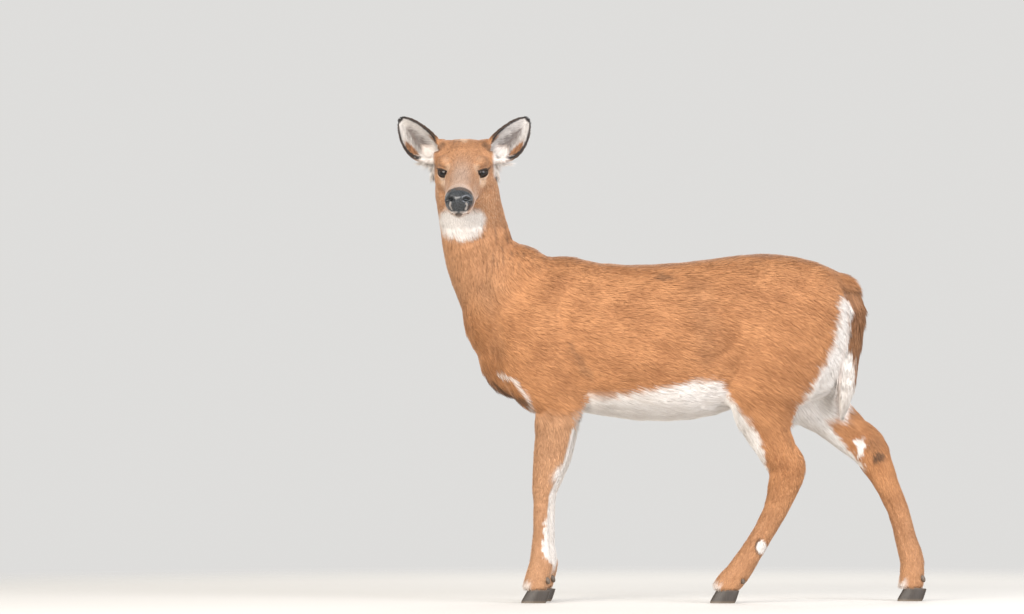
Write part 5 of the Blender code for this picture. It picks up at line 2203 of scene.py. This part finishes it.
def claw(name, box, toe_side):
    """A claw inside its solid's box. Toe_side is -1 or +1, away from the cleft."""
    low, high = (np.array(corner) for corner in box)
    turns = [2 * math.pi * k / CLAW_POINTS for k in range(CLAW_POINTS)]
    work = bmesh.new()
    rows = []
    for level in range(CLAW_LEVELS + 1):
        rise = level / CLAW_LEVELS
        rows.append([work.verts.new(claw_point(low, high, toe_side, rise, turn)) for turn in turns])
    work.faces.new(rows[0])
    work.faces.new(rows[-1])
    for lower, upper in zip(rows[:-1], rows[1:]):
        for k in range(CLAW_POINTS):
            l = (k + 1) % CLAW_POINTS
            work.faces.new((lower[k], lower[l], upper[l], upper[k]))
    bmesh.ops.recalc_face_normals(work, faces=work.faces)
    mesh = mesh_of(name, work)
    mesh.shade_smooth()
    mesh.set_sharp_from_angle(angle=math.radians(50))
    return object_from(name, mesh)


def dewclaw(name, box):
    """A blunt cone of horn inside its solid's box, leaning down and back."""
    low, high = (np.array(corner) for corner in box)
    work = bmesh.new()
    bmesh.ops.create_uvsphere(work, u_segments=28, v_segments=18, radius=1.0)
    lean = Matrix.Rotation(DEWCLAW_LEAN, 4, "Y")
    place = Matrix.Translation(Vector((low + high) / 2) - DEWCLAW_SET_FORWARD)
    bmesh.ops.transform(work, matrix=place @ lean @ Matrix.Diagonal(DEWCLAW_SIZES), verts=work.verts)
    mesh = mesh_of(name, work)
    mesh.shade_smooth()
    return object_from(name, mesh)


print("a claw has", CLAW_POINTS, "points round it and", CLAW_LEVELS, "levels")

# %% [markdown]
# ## Horn as a finish
#
# Horn is keratin, index 1.55. It is nearly black with fine paler lines down it, dull and
# pale where it is worn at the ground, and softer and paler at the coronet.

# %% Claws of horn
RING_SPACING = 2 * MM
LINE_WIDTH, LINE_LENGTH = 10 / 9 * MM, 50 / 3 * MM
WORN_BELOW = 0.007
CORONET_FROM, CORONET_TO = 0.024, 0.030


def horn_material():
    """Worn satin horn, with growth rings round it and fine lines down it."""
    material, tree, shader = new_material("worn dark hoof horn")
    place = add(tree, "ShaderNodeNewGeometry")["Position"]
    height = add(tree, "ShaderNodeSeparateXYZ", {"Vector": place})["Z"]
    waves = {"Vector": place, "Scale": 1 / (math.pi * RING_SPACING), "Distortion": 2.0, "Detail": 2.0}
    rings = add(tree, "ShaderNodeTexWave", waves, bands_direction="Z")["Fac"]
    scales = (1 / LINE_WIDTH, 1 / LINE_WIDTH, 1 / LINE_LENGTH)
    drawn = add(tree, "ShaderNodeMapping", {"Vector": place, "Scale": scales})["Vector"]
    lines = add(tree, "ShaderNodeTexNoise", {"Vector": drawn, "Scale": 1.0, "Detail": 3.0})["Fac"]
    horns = {SHARE: lines, FIRST: "#1A1613", SECOND: "#4B4138"}
    colour = add(tree, "ShaderNodeMix", horns, data_type="RGBA")[MIXED]
    colour = soft_mark(tree, colour, height, WORN_BELOW, 0.0, "#6A5D4E")
    colour = soft_mark(tree, colour, height, CORONET_FROM, CORONET_TO, "#5E5043")
    fine = add(tree, "ShaderNodeMath", {0: lines, 1: 0.5}, operation="MULTIPLY")["Value"]
    grown = add(tree, "ShaderNodeMath", {0: rings, 1: 0.7, 2: fine}, operation="MULTIPLY_ADD")["Value"]
    relief = add(tree, "ShaderNodeBump", {"Height": grown, "Strength": 0.5, "Distance": 0.0004})["Normal"]
    rough = add(tree, "ShaderNodeMapRange", {"Value": lines, "To Min": 0.34, "To Max": 0.55})["Result"]
    wire(tree, shader, {"Base Color": colour, "Normal": relief, "Roughness": rough, "IOR": 1.55})
    return material


horn = horn_material()
for leg in LEGS:
    for place in ("outer", "inner"):
        outward = -1 if leg.endswith("left") else 1
        toe_side = outward if place == "outer" else -outward
        for kind in ("claw", "dewclaw"):
            node = f"{leg}_{kind}_{place}"
            name = f"horn_{node}"
            made = claw(name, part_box(node), toe_side) if kind == "claw" else dewclaw(name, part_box(node))
            made.data.materials.append(horn)
            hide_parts(node)
            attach(made, "root")
print("eight claws and eight dewclaws of horn")

# %% [markdown]
# ## The floor
#
# She stands on a pale matt floor, a round sheet that fades into the backdrop at its edge.

# %% Floor
FLOOR_REACH = 3.2
FADE_FROM, FADE_TO = 0.45, 0.98


def make_floor():
    work = bmesh.new()
    bmesh.ops.create_circle(work, cap_ends=True, radius=FLOOR_REACH, segments=96)
    floor = object_from("floor", mesh_of("floor", work))
    material, tree, shader = new_material("pale matt floor")
    wire(tree, shader, {"Base Color": "#CFCCC7", "Roughness": 0.9})
    place = add(tree, "ShaderNodeNewGeometry")["Position"]
    limits = {
        "Value": add(tree, "ShaderNodeVectorMath", {0: place}, operation="LENGTH")["Value"],
        "From Min": FLOOR_REACH * FADE_FROM,
        "From Max": FLOOR_REACH * FADE_TO,
    }
    edge = add(tree, "ShaderNodeMapRange", limits, interpolation_type="SMOOTHERSTEP")["Result"]
    clear = add(tree, "ShaderNodeBsdfTransparent")["BSDF"]
    blend = add(tree, "ShaderNodeMixShader", {0: edge, 1: shader.outputs["BSDF"], 2: clear})["Shader"]
    wire(tree, tree.nodes["Material Output"], {"Surface": blend})
    floor.data.materials.append(material)


make_floor()
print("floor", 2 * FLOOR_REACH, "m across")

# %% [markdown]
# ## Light and camera
#
# A museum model is looked at in soft, even light. The sky gives most of it, a large panel
# to the front and left models the form, and a weaker one fills from the other side. A panel
# behind her draws her outline, a small one puts a light in her eyes, and a long strip lies
# along her nose and neck. The camera stands level with her chest and far away, so the legs
# don't lean.

# %% Light and camera
LOOK_AT = Vector((-0.333, 0.05, 0.649))
CAMERA_DISTANCE = 20.0
FRAME_WIDTH = 2.2528
SKY_STRENGTH = 0.90
BODY = (0.0, 0.0, 0.6)
SHOULDER = (-0.1, 0.0, 0.6)
FACE = (-0.44, -0.1, 0.94)


def area_light(name, place, aim, size, watts, colour="#FFFFFF"):
    light = bpy.data.lights.new(name, "AREA")
    wide, high = size if isinstance(size, tuple) else (size, size)
    light.shape = "RECTANGLE" if isinstance(size, tuple) else "ELLIPSE"
    light.size = wide
    light.size_y = high
    light.energy = watts
    light.color = srgb(colour)[:3]
    lamp = object_from(name, light)
    lamp.location = place
    lamp.rotation_euler = (Vector(aim) - Vector(place)).to_track_quat("-Z", "Y").to_euler()


def make_sky():
    world = bpy.data.worlds.new("studio")
    world.use_nodes = True
    backdrop = world.node_tree.nodes["Background"]
    backdrop.inputs["Color"].default_value = srgb("#E9E8E6")
    backdrop.inputs["Strength"].default_value = SKY_STRENGTH
    bpy.context.scene.world = world


def make_camera():
    camera = bpy.data.cameras.new("camera")
    camera.lens = camera.sensor_width * CAMERA_DISTANCE / FRAME_WIDTH
    camera.clip_end = 60.0
    seen_from = object_from("camera", camera)
    seen_from.location = LOOK_AT - Vector((0.0, CAMERA_DISTANCE, 0.0))
    seen_from.rotation_euler = (math.pi / 2, 0.0, 0.0)
    bpy.context.scene.camera = seen_from


make_sky()
make_camera()
area_light("key", (-2.4, -4.0, 2.3), SHOULDER, 3.0, 215.0, "#FFF8F0")
area_light("fill", (2.6, -2.4, 1.8), BODY, 2.6, 130.0, "#F6F8FF")
area_light("back", (0.8, 3.2, 3.0), BODY, 2.4, 60.0)
area_light("catch", (-0.8, -5.0, 2.2), FACE, 0.8, 26.0)
area_light("strip", (-0.6, -4.2, 3.2), FACE, (5.0, 0.35), 40.0)
bpy.context.scene.view_settings.view_transform = "Standard"
print("camera lens", round(bpy.context.scene.camera.data.lens, 1), "mm at", CAMERA_DISTANCE, "m")
